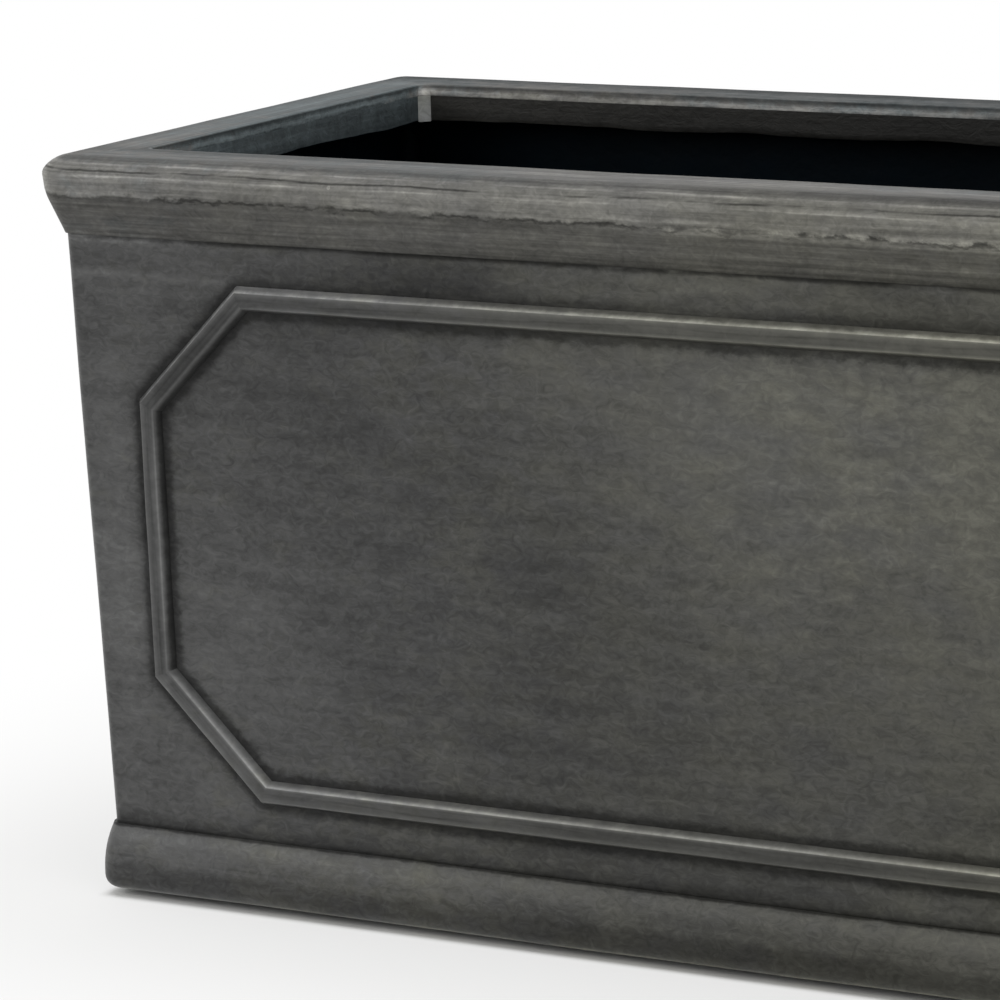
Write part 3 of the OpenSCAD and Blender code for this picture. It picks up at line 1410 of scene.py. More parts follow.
@dataclass
class RimMoulding(SweptMoulding):
    """The cornice: flat top, eased edge, fascia and slope."""

    ease_width: float = 12.4 * MM
    ease_drop: float = 6.4 * MM
    ease_edge_r: float = 1.5 * MM
    fascia_foot: float = 284.8 * MM
    fascia_lean: float = 0.9 * MM
    foot_edge_r: float = 1.8 * MM
    fillet_taper: float = 0.6
    opening_edge_r: float = 1 * MM
    run_step: float = 2 * MM
    hollows: Hollows = (80 * MM, 0.5 * MM)
    chips: Hollows = (6 * MM, 1.2 * MM)
    chip_contrast: float = 2.2
    waves: Hollows = (22 * MM, 1.1 * MM)
    worn_above_foot: float = 0.5 * MM
    worn_reach: float = 2.2 * MM
    worn_depth: float = 6 * MM
    sound_end: float = 10 * MM
    sound_fade: float = 30 * MM
    least_wear: float = 0.15

    def ease(self, steps: int = 8) -> list[SectionPoint]:
        """Draws the eased outer edge of the flat top, from the inside out.

        Args:
            steps: Number of its straight pieces.

        Returns:
            The section points.
        """
        radius = (self.ease_width**2 + self.ease_drop**2) / (2 * self.ease_drop)
        points = []
        for i in range(steps + 1):
            run = self.ease_width * i / steps
            drop = radius - math.sqrt(radius**2 - run**2)
            points.append((self.ease_width - run, SIZES.height - drop))
        return points

    def outer_section(self) -> list[SectionPoint]:
        """Draws the section outside the line that the corners turn about.

        Returns:
            The section points.
        """
        under = SIZES.rim_under
        return [
            (self.corner_inset, SIZES.height),
            *self.ease(),
            (self.fascia_lean, self.fascia_foot),
            (SIZES.overhang - SIZES.joint_step, SIZES.joint_height),
            (SIZES.overhang, SIZES.joint_height),
            (SIZES.wall_inset(under), under),
            (self.corner_inset, under),
        ]

    def across_line(self) -> list[SectionPoint]:
        """Returns the visible section, from the foot of the opening's edge to the wall joint."""
        start = [(SIZES.rim_width, height) for height in (SIZES.rim_under, SIZES.height)]
        return start + self.outer_section()[:-2]

    def inner_plate(self, piece: Workpiece, height: float) -> None:
        """Carries the flat top, or its underside, in to the opening, whose corners are cut off.

        Args:
            piece: The quarter.
            height: Height of the plate.
        """
        turn, leg = self.turn, SIZES.fillet_leg
        opening = [-half for half in SIZES.opening]
        for axis, other in ((X, Y), (Y, X)):
            inner_run = lambda e: (
                lies_at(e, other, turn[other]) and lies_at(e, Z, height)
                and all(v.co[axis] > turn[axis] - TINY for v in e.verts)
            )
            step = [0.0, 0.0, 0.0]
            step[other] = opening[other] - turn[other]
            piece.pick(Pick.EDGES, inner_run).extrude(step)
            outer_end = lambda v: (
                abs(v.co[other] - opening[other]) < TINY
                and abs(v.co[axis] - turn[axis]) < TINY
                and abs(v.co.z - height) < TINY
            )
            slide = [0.0, 0.0, 0.0]
            slide[axis] = opening[axis] + leg - turn[axis]
            piece.pick(Pick.POINTS, outer_end).move(slide)
        gusset = [
            Vector((turn[X], turn[Y], height)),
            Vector((opening[X] + leg, opening[Y], height)),
            Vector((opening[X], opening[Y] + leg, height)),
        ]
        piece.pick(Pick.POINTS, lambda v: any((v.co - g).length < TINY for g in gusset))
        bpy.ops.mesh.edge_face_add()

    def on_opening(self, point: Vector) -> bool:
        """Says whether a point lies on one of the opening's faces.

        Args:
            point: The point.

        Returns:
            Whether it does.
        """
        x, y = (half - abs(place) for half, place in zip(SIZES.opening, point))
        nearest = min(abs(x), abs(y), abs(x + y - SIZES.fillet_leg))
        return nearest < 2 * TINY and min(x, y) > -TINY

    def build(self) -> None:
        """Makes the cornice and dresses it."""
        top, under = SIZES.height, SIZES.rim_under
        piece = self.quarter("cornice", self.outer_section())
        for height in (top, under):
            self.inner_plate(piece, height)
        on_top = lambda e: lies_at(e, Z, top) and all(self.on_opening(v.co) for v in e.verts)
        piece.pick(Pick.EDGES, on_top).extrude((0, 0, under - top))
        self.mirror(piece.merge())
        for side_x, side_y in CORNERS.values():
            corner = Vector((side_x * SIZES.opening[X], side_y * SIZES.opening[Y], top))
            piece.pick(Pick.POINTS, lambda v: (v.co - corner).length < SIZES.fillet_leg + TINY)
            piece.scale((self.fillet_taper, self.fillet_taper, 1.0), corner)
        at_fascia_foot = self.at(self.fascia_lean, self.fascia_foot)
        at_ease_foot = self.at(0.0, top - self.ease_drop)
        piece.pick(Pick.EDGES, on_top).bevel(self.opening_edge_r, 4)
        piece.pick(Pick.EDGES, at_fascia_foot).bevel(self.foot_edge_r, 4)
        piece.pick(Pick.EDGES, at_ease_foot).bevel(self.ease_edge_r, 3)
        slope = lambda e: (
            span(e, Z) > 8 * MM and max(v.co.z for v in e.verts) < self.fascia_foot - TINY
        )
        piece.pick(Pick.EDGES, slope).cut(7)
        flat = lambda e: (
            lies_at(e, Z, top) and length_of(e) > 10 * MM and max(span(e, X), span(e, Y)) < 40 * MM
        )
        piece.pick(Pick.EDGES, flat).cut(5)
        self.divide_runs(piece, self.run_step)
        rim = piece.face_outwards().close()
        self.brush(rim, self.across_line())
        self.roughen(rim)
        self.dress(rim, "rim_moulding", "rubbed_lead", finish="rim_lead")

    def roughen(self, rim: bpy.types.Object) -> None:
        """Makes the rim slightly uneven, and its fascia's foot chipped and wavy.

        Args:
            rim: The rim.
        """
        points = points_of(rim)
        heights, insets = points[:, Z], inset_of(points, self.corner_inset)
        above = (heights - self.fascia_foot - self.worn_above_foot) / self.worn_reach
        from_end = np.maximum(SIZES.halves[X] - np.abs(points[:, X]), insets)
        wear = np.exp(-(above**2)) * (insets < self.worn_depth)
        wear *= np.clip((from_end - self.sound_end) / self.sound_fade, self.least_wear, 1.0)
        hidden = (insets >= SIZES.rim_width - 0.5 * MM) & (heights <= SIZES.height - 0.5 * MM)
        weigh(rim, "fascia_foot", wear)
        weigh(rim, "skin", 1.0 - hidden)
        unevenness(rim, *self.hollows, vertex_group="skin")
        unevenness(rim, *self.chips, self.chip_contrast, vertex_group="fascia_foot")
        unevenness(rim, *self.waves, mid_level=0.5, direction="Z", vertex_group="fascia_foot")


@dataclass
class PlinthMoulding(SweptMoulding):
    """The swelling skirting round the foot of the walls."""

    corner_inset: float = SIZES.wall_inset(SIZES.plinth_top) + SIZES.wall_corner_r
    swell_out: float = 5.4 * MM
    belly_height: float = 10 * MM
    edge_r: float = 5 * MM
    let_in: float = 0.5 * MM
    run_step: float = 3 * MM
    hollows: Hollows = (60 * MM, 0.6 * MM)

    @property
    def belly_in(self) -> float:
        """Inset of the belly."""
        return SIZES.wall_inset(SIZES.plinth_top) - self.swell_out

    def swell(self, steps: int = 8) -> list[SectionPoint]:
        """Draws the swelling face, from the top down to the belly.

        Args:
            steps: Number of its straight pieces.

        Returns:
            The section points.
        """
        rise = SIZES.plinth_top - self.belly_height
        run = SIZES.wall_inset(SIZES.plinth_top) - SIZES.joint_step - self.belly_in
        radius = (rise**2 + run**2) / (2 * run)
        heights = [SIZES.plinth_top - rise * i / steps for i in range(steps + 1)]
        drops = [radius - math.sqrt(radius**2 - (z - self.belly_height) ** 2) for z in heights]
        return [(self.belly_in + d, z) for d, z in zip(drops, heights)]

    def build(self) -> None:
        """Makes the plinth and dresses it."""
        top, under = SIZES.plinth_top, SIZES.floor_under
        section = [
            (SIZES.wall_inset(top) + self.let_in, top),
            *self.swell(),
            (self.belly_in, under),
            (SIZES.wall_inset(under) + self.let_in, under),
        ]
        piece = self.mirror(self.quarter("plinth", section, closed=True))
        piece.pick(Pick.EDGES, self.at(self.belly_in, under)).bevel(self.edge_r, 6)
        self.divide_runs(piece, self.run_step)
        plinth = piece.face_outwards().close()
        self.brush(plinth, section)
        unevenness(plinth, *self.hollows)
        self.dress(plinth, "plinth_moulding", "aged_lead", finish="plinth_lead")


@dataclass
class StrapPanel(Piece):
    """The raised octagonal straps on the four walls."""

    sizes: StrapSizes = STRAPS
    sunk: float = 0.6 * MM
    crown_edge_r: float = 0.3 * MM
    hollows: Hollows = (30 * MM, 0.35 * MM)
    brushing_apart: float = 1.3

    def ring(self, name: str, half_long: float) -> bpy.types.Object:
        """Makes a flat octagonal strap that stands up along Z.

        Args:
            name: Name of the strap.
            half_long: Half its length over the outside.

        Returns:
            The strap, lying round the origin.
        """
        width, out = self.sizes.width, self.sizes.out
        flank = (width - self.sizes.crown) / 2
        piece = Workpiece.plate(name, 2 * half_long, 2 * self.sizes.half_high)
        piece.pick(Pick.POINTS, lambda v: True).bevel(self.sizes.cut, 1, corners=True)
        piece.pick(Pick.FACES, lambda f: True)
        bpy.ops.mesh.inset(thickness=width)
        bpy.ops.mesh.delete(type="FACE")
        piece.pick(Pick.FACES, lambda f: True).move((0, 0, -self.sunk))
        piece.extrude((0, 0, self.sunk)).extrude((0, 0, out))
        piece.pick(Pick.FACES, lambda f: f.normal.z > 0.9 and f.calc_center_median().z > out / 2)
        bpy.ops.mesh.inset(thickness=flank)
        self.lower_rims(piece, half_long, flank)
        piece.merge().face_outwards()
        piece.pick(Pick.EDGES, lambda e: lies_at(e, Z, out) and self.round_ring(e, half_long))
        piece.bevel(self.crown_edge_r, 2)
        for least, times, cuts in ((30 * MM, 2, 3), (5 * MM, 3, 1)):
            longer = lambda e: length_of(e) > least and self.round_ring(e, half_long)
            for _ in range(times):
                piece.pick(Pick.EDGES, longer).cut(cuts)
        ring = piece.close()
        self.brush(ring, half_long)
        return ring

    def lower_rims(self, piece: Workpiece, half_long: float, flank: float) -> None:
        """Drops the outer and inner borders of the raised face to the wall, which makes the flanks.

        Args:
            piece: The strap.
            half_long: Half its length over the outside.
            flank: Width of a flank.
        """
        def on_border(point: bmesh.types.BMVert) -> bool:
            """Says whether a raised point lies on the outer or inner border.

            Args:
                point: The point.

            Returns:
                Whether it does.
            """
            inset = self.inset(np.array([point.co[:]]), half_long)[0]
            on_crown = flank / 2 < inset < self.sizes.width - flank / 2
            return point.co.z > self.sizes.out / 2 and not on_crown
        piece.pick(Pick.POINTS, on_border).move((0, 0, -self.sizes.out))

    def sides(self, half_long: float) -> list[tuple[Vector, float]]:
        """Lists the outer octagon's sides.

        Args:
            half_long: Half the strap's length over the outside.

        Returns:
            For each side its outward direction and its distance.
        """
        half_high = self.sizes.half_high
        corner = (half_long + half_high - self.sizes.cut) / math.sqrt(2)
        reach = {0: half_long, 1: corner, 2: half_high, 3: corner}
        turns = [i * math.pi / 4 for i in range(8)]
        return [(Vector((math.cos(t), math.sin(t), 0)), reach[i % 4]) for i, t in enumerate(turns)]

    def inset(self, points: np.ndarray, half_long: float) -> np.ndarray:
        """Measures how far in from the outer octagon points are.

        Args:
            points: The points, round the origin.
            half_long: Half the strap's length over the outside.

        Returns:
            The insets.
        """
        gaps = [reach - points @ np.array(way) for way, reach in self.sides(half_long)]
        return np.min(gaps, axis=0)

    def round_ring(self, edge: Edge, half_long: float) -> bool:
        """Says whether an edge runs round the ring, and not across it.

        Args:
            edge: The edge.
            half_long: Half the strap's length over the outside.

        Returns:
            Whether it does.
        """
        first, second = self.inset(np.array([v.co[:] for v in edge.verts]), half_long)
        return abs(first - second) < 0.05 * MM and span(edge, Z) < 0.05 * MM

    def brush(self, ring: bpy.types.Object, half_long: float) -> None:
        """Lays the brushing along each length of the strap.

        Args:
            ring: The strap, lying round the origin.
            half_long: Half its length over the outside.
        """
        corners, middles = corners_of(ring)
        sides = self.sides(half_long)
        gaps = np.array([reach - middles @ np.array(way) for way, reach in sides])
        side = np.argmin(gaps, axis=0)
        ways = np.array([way[:] for way, _ in sides])[side]
        reaches = np.array([reach for _, reach in sides])[side]
        along = corners[:, Y] * ways[:, X] - corners[:, X] * ways[:, Y]
        across = reaches - np.sum(corners * ways, axis=1)
        lay_brushing(ring, along + side * self.brushing_apart, across)

    def build(self) -> None:
        """Makes the four straps and dresses them."""
        half_long, half_short = self.sizes.half_runs
        long_ring = self.ring("strap_front", half_long)
        short_ring = self.ring("strap_left", half_short)
        middle = self.sizes.middle
        stand = Matrix.Rotation(math.pi / 2 + self.sizes.slant, 4, "X")
        for side, ring in on_four_sides("strap", long_ring, short_ring).items():
            half = SIZES.halves[Y if side.is_long else X]
            lift = Matrix.Translation((0, SIZES.wall_inset(middle) - half, middle))
            place(ring, side.turn @ lift @ stand)
            unevenness(ring, *self.hollows, mid_level=0.7)
            self.dress(ring, f"{side.name.lower()}_panel_moulding", "rubbed_lead", finish="strap_lead")


@dataclass
class ReturnStrips(Piece):
    """The strips that turn down inside the opening, with the fillets in their corners."""

    height: float = 11 * MM
    thickness: float = 4 * MM
    grid: float = 5 * MM
    foot_edge_r: float = 0.6 * MM
    fillet_edge_r: float = 0.35 * MM
    trim: Hollows = (48 * MM, 3.4 * MM)

    @staticmethod
    def tall(edge: Edge) -> bool:
        """Says whether an edge stands upright over most of the strip."""
        return span(edge, Z) > 5 * MM

    def strip(self, name: str, half_run: float) -> bpy.types.Object:
        """Makes a strip that lies along X, with its face towards +Y at the origin.

        Args:
            name: Name of the strip.
            half_run: Half its length.

        Returns:
            The strip, with its top at height 0.
        """
        piece = Workpiece.box(name, (-half_run, -self.thickness, -self.height), (half_run, 0, 0))
        long_edge = lambda e: span(e, X) > half_run
        piece.pick(Pick.EDGES, lambda e: long_edge(e) and e.verts[0].co.z < -5 * MM)
        piece.bevel(self.foot_edge_r, 2)
        piece.pick(Pick.EDGES, long_edge).cut(round(2 * half_run / self.grid) // 2 - 1)
        piece.pick(Pick.EDGES, lambda e: span(e, X) > 3 * MM).cut(3)
        piece.pick(Pick.EDGES, self.tall).cut(4)
        strip = piece.close()
        corners, _ = corners_of(strip)
        lay_brushing(strip, corners[:, X], corners[:, Z])
        weigh(strip, "trimmed_edge", np.clip(-points_of(strip)[:, Z] / self.height, 0.0, 1.0))
        return strip

    def fillet(self, name: str, side_x: int, side_y: int) -> bpy.types.Object:
        """Makes the fillet in one corner of the opening.

        Args:
            name: Name of the fillet.
            side_x: 1 on the right and -1 on the left.
            side_y: 1 at the back and -1 at the front.

        Returns:
            The fillet.
        """
        half_x, half_y = SIZES.opening
        leg = SIZES.fillet_leg
        corner = Vector((side_x * half_x, side_y * half_y, SIZES.rim_under))
        inner = corner - Vector((side_x * leg, side_y * leg, self.height))
        low, high = ([pick(pair) for pair in zip(corner, inner)] for pick in (min, max))
        piece = Workpiece.box(name, low, high)
        bpy.ops.mesh.select_all(action="SELECT")
        bpy.ops.mesh.bisect(
            plane_co=(corner + inner) / 2, plane_no=(-side_x, -side_y, 0), use_fill=True,
            clear_outer=True,
        )
        piece.pick(Pick.EDGES, self.tall).bevel(self.fillet_edge_r, 2)
        piece.pick(Pick.EDGES, self.tall).cut(5)
        fillet = piece.face_outwards().close()
        corners, _ = corners_of(fillet)
        lay_brushing(fillet, corners[:, Z], corners[:, X])
        return fillet

    def build(self) -> None:
        """Makes the strips and the fillets and dresses them."""
        half_x, half_y = SIZES.opening
        long_strip = self.strip("return_front", half_x + self.thickness)
        short_strip = self.strip("return_left", half_y)
        for side, strip in on_four_sides("return", long_strip, short_strip).items():
            lift = Matrix.Translation((0, -(half_y if side.is_long else half_x), SIZES.rim_under))
            place(strip, side.turn @ lift)
            unevenness(strip, *self.trim, mid_level=0.35, direction="Z", vertex_group="trimmed_edge")
            # The end strips take a lighter, bluer copy of the strips' finish, painted as lit and
            # reflecting the sky; the long strips keep the dark one.
            finish = "dark_lead" if side.is_long else "blue_lead"
            self.dress(strip, f"{side.name.lower()}_return_strip", "dark_lead", finish=finish)
        for where, sides in CORNERS.items():
            fillet = self.fillet(f"fillet_{where}", *sides)
            self.dress(fillet, f"corner_fillet_{where}", "rubbed_lead", finish="fillet_lead")


@dataclass
class Drainage(Piece):
    """The floor panel and the three bungs in its drain holes."""

    hole_x: float = 250 * MM
    stem_r: float = 7.95 * MM
    stem_foot: float = 4 * MM
    floor_top: float = 9 * MM
    flange_r: float = 13 * MM
    flange_edge: float = 1.4 * MM
    flange_height: float = 2.5 * MM
    grip_r: float = 3.5 * MM
    grip_height: float = 5 * MM
    edge_r: float = 0.5 * MM
    segments: int = 48

    def outline(self) -> list[SectionPoint]:
        """Draws a bung's outline: tapered stem, soft flange and waisted grip.

        Returns:
            Each ring's radius and height, from the foot up.
        """
        flange_top = self.floor_top + self.flange_height
        return [
            (self.stem_r - 0.9 * MM, self.stem_foot),
            (self.stem_r - 0.2 * MM, self.stem_foot + 1.2 * MM),
            (self.stem_r, self.floor_top - 0.6 * MM),
            (self.stem_r, self.floor_top),
            (self.flange_r, self.floor_top),
            (self.flange_r, self.floor_top + self.flange_edge),
            (self.flange_r - 3.5 * MM, flange_top),
            (self.grip_r - 0.4 * MM, flange_top),
            (self.grip_r - 0.9 * MM, flange_top + 1.8 * MM),
            (self.grip_r, flange_top + 3.4 * MM),
            (self.grip_r, flange_top + self.grip_height),
        ]

    def bung(self, name: str) -> bpy.types.Object:
        """Makes a bung on the Z axis.

        Args:
            name: Name of the bung.

        Returns:
            The bung.
        """
        (radius, height), *rings = self.outline()
        piece = Workpiece.disc(name, radius, height, self.segments)
        bpy.ops.mesh.select_all(action="SELECT")
        for next_radius, next_height in rings:
            piece.extrude((0, 0, next_height - height))
            factor = next_radius / radius
            piece.scale((factor, factor, 1), (0, 0, next_height))
            radius, height = next_radius, next_height
        piece.face_outwards()
        tops = (self.floor_top + self.flange_edge, height)
        piece.pick(Pick.EDGES, lambda e: any(lies_at(e, Z, z) for z in tops))
        return piece.bevel(self.edge_r, 3).close()

    def build(self) -> None:
        """Dresses the floor panel, and makes and dresses the bungs."""
        floor = frame["nodes"]["base_panel"]
        floor.data.materials.clear()
        floor.data.materials.append(self.finishes["raw_laminate"])
        places = {"left": -self.hole_x, "middle": 0.0, "right": self.hole_x}
        bungs = with_copies(self.bung("bung_left"), ("bung_middle", "bung_right"))
        for (where, x), bung in zip(places.items(), bungs):
            place(bung, Matrix.Translation((x, 0, 0)))
            self.dress(bung, f"drain_bung_{where}", "black_rubber", body=f"{where}_bung")


@dataclass
class FootPads(Piece):
    """The four rubber pads under the floor panel."""

    radius: float = 15 * MM
    thickness: float = 3 * MM
    inset: float = 48 * MM
    edge_r: float = 0.5 * MM
    hollow_insets: tuple[float, float] = (4 * MM, 2 * MM)
    hollow_depth: float = 0.8 * MM
    segments: int = 48

    def pad(self, name: str) -> bpy.types.Object:
        """Makes a pad on the Z axis, with softened edges and a hollow in its foot.

        Args:
            name: Name of the pad.

        Returns:
            The pad.
        """
        piece = Workpiece.disc(name, self.radius, 0.0, self.segments)
        bpy.ops.mesh.select_all(action="SELECT")
        piece.extrude((0, 0, self.thickness)).face_outwards()
        piece.pick(Pick.EDGES, lambda e: span(e, Z) < TINY).bevel(self.edge_r, 3)
        piece.pick(Pick.FACES, lambda f: f.normal.z < -0.99)
        for width in self.hollow_insets:
            bpy.ops.mesh.inset(thickness=width)
        return piece.extrude((0, 0, self.hollow_depth)).close()

    def build(self) -> None:
        """Makes the pads and dresses them."""
        at_x, at_y = (half - self.inset for half in SIZES.halves)
        places = {
            "front_left": (-at_x, -at_y), "front_right": (at_x, -at_y),
            "back_left": (-at_x, at_y), "back_right": (at_x, at_y),
        }
        names = [f"pad_{where}" for where in places]
        pads = with_copies(self.pad(names[0]), names[1:])
        for (where, (x, y)), pad in zip(places.items(), pads):
            place(pad, Matrix.Translation((x, y, 0)))
            self.dress(pad, f"foot_pad_{where}", "black_rubber")


@dataclass(frozen=True)
class Lamp:
    """A soft rectangular lamp that faces the trough."""

    name: str
    at: Point
    size: tuple[float, float]
    watts: float
    target: Point = (0, 0, 0.15)

    def hang(self) -> None:
        """Adds the lamp to the scene."""
        data = bpy.data.lights.new(self.name, "AREA")
        data.shape = "RECTANGLE"
        data.size, data.size_y = self.size
        data.energy = self.watts
        lamp = bpy.data.objects.new(self.name, data)
        aim = (Vector(self.target) - Vector(self.at)).to_track_quat("-Z", "Y")
        lamp.matrix_world = Matrix.Translation(self.at) @ aim.to_matrix().to_4x4()
        bpy.context.scene.collection.objects.link(lamp)


@dataclass(frozen=True)
class Studio:
    """The camera, the pale floor and the soft lights round the trough."""

    camera_at: Point = (0.7604, -1.7929, 0.5685)
    heading: float = 29.94
    pitch: float = 11.536
    roll: float = -1.623
    lens: float = 187.3
    sensor: float = 36.0
    sees_to: float = 60.0
    floor_size: float = 30.0
    shaded: Point = (0.386, 0.126, 0.0)
    contact: float = 5 * MM
    glow: float = 0.53
    fade_from: float = 0.04
    fade_to: float = 0.26
    paper: float = 0.90
    paper_blue: float = 0.985
    sky: float = 0.55
    lamps: tuple[Lamp, ...] = (
        Lamp("overhead", (-0.3, -0.3, 2.4), (2.2, 1.8), 26.0),
        Lamp("front", (-1.6, -2.6, 1.5), (1.8, 1.6), 22.0),
    )

    def camera(self) -> None:
        """Places the camera as the photograph has it."""
        data = bpy.data.cameras.new("camera")
        data.lens = self.lens
        data.sensor_width = self.sensor
        data.clip_end = self.sees_to
        camera = bpy.data.objects.new("camera", data)
        turn = (
            Matrix.Rotation(math.radians(self.heading), 4, "Z")
            @ Matrix.Rotation(math.radians(90 - self.pitch), 4, "X")
            @ Matrix.Rotation(math.radians(self.roll), 4, "Z")
        )
        camera.matrix_world = Matrix.Translation(self.camera_at) @ turn
        bpy.context.scene.collection.objects.link(camera)
        bpy.context.scene.camera = camera

    def away_from_trough(self, nodes: Nodework, own: Socket) -> Socket:
        """Measures how plainly white the floor shows, away from the shaded foot.

        Args:
            nodes: The floor's nodes.
            own: The floor's own coordinates.

        Returns:
            0 at the trough's foot and 1 well away from it.
        """
        apart = nodes.add("VectorMath", {0: own}, operation="ABSOLUTE").outputs[0]
        apart = nodes.vectors("SUBTRACT", apart, self.shaded)
        apart = nodes.vectors("MAXIMUM", apart, (0, 0, 0))
        far = nodes.add("VectorMath", {0: apart}, operation="LENGTH").outputs["Value"]
        near = nodes.times(nodes.fade(far, 0.0, self.contact), self.glow)
        away = nodes.fade(far, self.fade_from, self.fade_to, soft=True)
        return nodes.math("ADD", near, nodes.times(away, 1 - self.glow), clamp=True)

    def floor(self) -> None:
        """Lays the pale floor, which turns to plain white away from the trough."""
        bpy.ops.object.select_all(action="DESELECT")
        bpy.ops.mesh.primitive_plane_add(size=self.floor_size, location=(0, 0, 0))
        floor = bpy.context.object
        floor.name = "floor"
        nodes = Nodework("pale_floor")
        own = nodes.objects()
        white_share = nodes.times(nodes.seen_rays(), self.away_from_trough(nodes, own))
        cloth = nodes.noise(nodes.stretch(own, (0.5, 0.5, 0.5)), 2.0)
        tone = nodes.math("ADD", nodes.times(cloth, 0.006), self.paper)
        paper = nodes.add("CombineColor", {0: tone, 1: tone, 2: nodes.times(tone, self.paper_blue)})
        matt = nodes.add("BsdfDiffuse", {"Color": paper.outputs[0]})
        white = nodes.add("Emission", {"Color": (1, 1, 1, 1), "Strength": 1.0})
        mix = nodes.add("MixShader", {0: white_share, 1: matt.outputs[0], 2: white.outputs[0]})
        floor.data.materials.append(nodes.finish(mix))

    def world(self) -> None:
        """Lights the scene from all round and shows plain white behind it."""
        nodes = Nodework("studio", world=True)
        strength = nodes.add("MapRange", {"Value": nodes.seen_rays(), "To Min": self.sky}).outputs[0]
        back = nodes.add("Background", {"Color": (1, 1, 1, 1), "Strength": strength})
        bpy.context.scene.world = nodes.finish(back)

    def build(self) -> None:
        """Sets the studio up."""
        self.camera()
        self.floor()
        self.world()
        for lamp in self.lamps:
            lamp.hang()
        bpy.context.scene.view_settings.view_transform = "Standard"


LEAD: Colour = (0.0638, 0.0636, 0.0615)

# A zone is a distance across the brushing and the brightness there, as a share of ZONE_STEPS.
# The lowest wall zones are painted shade in the crease above the plinth, and the highest painted shade
# under the cornice.
WALL_ZONES = (
    (0.003, -0.5), (0.028, -0.55), (0.0305, -0.52), (0.0325, -0.40), (0.0350, -0.16), (0.040, 0.0),
    (0.070, -0.08), (0.190, -0.10), (0.240, -0.10), (0.2505, -0.10), (0.2532, 0.17), (0.2560, -0.16),
    (0.262, -0.15), (0.2660, -0.11), (0.2670, -0.18), (0.2700, -0.30),
)
WALL_LINES = (
    # Painted shadow under the cornice's step.
    Line(0.2682, 1.7 * MM, -1.3, wander=0.3 * MM, ragged=0.2 * MM, broken=-0.2),
    # Painted shade in the crease above the plinth.
    Line(0.0302, 1.6 * MM, -0.35, wander=0.2 * MM),
)
# The rim's slope, which faces down, and the step under it are darker: painted shade.
RIM_ZONES = (
    (0.0, 0.44), (0.0006, 0.90), (0.0011, 1.0), (0.0022, 1.0), (0.0028, 0.68), (0.0034, 0.40),
    (0.0040, 0.28), (0.0050, 0.26), (0.0070, 0.22), (0.010, 0.40), (0.018, 0.46),
    (0.0240, 0.38), (0.0285, 0.16), (0.0325, 0.24), (0.0345, 0.56), (0.0370, 0.50), (0.0390, 0.50),
    (0.0410, 0.62), (0.0425, 0.72), (0.0450, 0.66), (0.0485, 0.56), (0.0502, 0.32), (0.0514, 0.08),
    (0.0530, 0.20), (0.0600, 0.32), (0.0650, 0.14), (0.0672, 0.0), (0.0700, -0.20),
)
RIM_LINES = (
    # A painted glint on the rounded edge of the opening.
    Line(0.0057, 0.9 * MM, 0.8, ragged=0.3 * MM),
    Line(0.0105, 1.2 * MM, -0.5, wander=0.8 * MM, broken=0.3),
    Line(0.0155, 1.8 * MM, 0.5, wander=1.0 * MM, broken=0.5),
    Line(0.0215, 1.3 * MM, -0.5, wander=1.2 * MM, broken=0.4),
    Line(0.0353, 1.0 * MM, 0.7, wander=0.6 * MM, ragged=0.3 * MM, broken=0.45),
    Line(0.0388, 0.8 * MM, -1.6, wander=1.5 * MM, ragged=0.3 * MM, broken=0.35),
    Line(0.0416, 0.9 * MM, 0.5, wander=0.7 * MM, ragged=0.4 * MM, broken=0.4),
    Line(0.0505, 1.2 * MM, -1.2, wander=0.5 * MM, ragged=1.8 * MM, broken=0.2),
    Line(0.0484, 2.2 * MM, 0.45, wander=0.5 * MM, ragged=1.6 * MM, broken=0.4),
    # Painted shade on the step under the slope.
    Line(0.0688, 1.4 * MM, -1.0, broken=-0.2),
)
# The first plinth zones are painted shade in the crease under the wall, and the last painted light,
# mixed with rubbing, on the rounded lower edge.
PLINTH_ZONES = (
    (0.0, -1.0), (0.0018, -0.95), (0.0027, -0.10), (0.0044, 0.08), (0.0065, 0.10), (0.0096, -0.02),
    (0.0126, -0.14), (0.0157, -0.16), (0.0188, -0.44), (0.0239, -0.46), (0.0257, -0.28),
    (0.0271, -0.16), (0.0285, -0.12), (0.0300, 0.20), (0.0315, 0.62), (0.0335, 1.0), (0.036, 1.0),
)
PLINTH_LINES = (
    Line(0.0142, 1.0 * MM, -0.3, wander=1.5 * MM, ragged=0.5 * MM, broken=0.4),
    # A painted light line, mixed with rubbing, along the rounded lower edge.
    Line(0.0340, 2.8 * MM, 1.3, wander=0.3 * MM, broken=0.1),
)
# Both ends are darker where the flanks meet the wall: the wash in the creases, with painted shade.
STRAP_ZONES = (
    (0.0, -0.75), (0.0008, -0.62), (0.0015, -0.08), (0.0022, 0.10), (0.0031, 0.04), (0.0040, -0.12),
    (0.0070, -0.16), (0.0078, 0.08), (0.0084, 0.02), (0.0091, -0.55), (0.0100, -0.80),
)
STRAP_LINES = (
    Line(0.0022, 1.1 * MM, 0.35, broken=-0.2),
    Line(0.0077, 1.1 * MM, 0.38, broken=-0.2),
    Line(0.0050, 0.7 * MM, -0.3, wander=1.4 * MM, broken=0.4),
)
STRIP_ZONES = ((-0.014, 0.3), (-0.0108, 0.20), (-0.0096, -0.05), (-0.004, 0.05), (0.0, 0.20))
FILLET_ZONES = ((-1.0, 0.0), (1.0, 0.0))

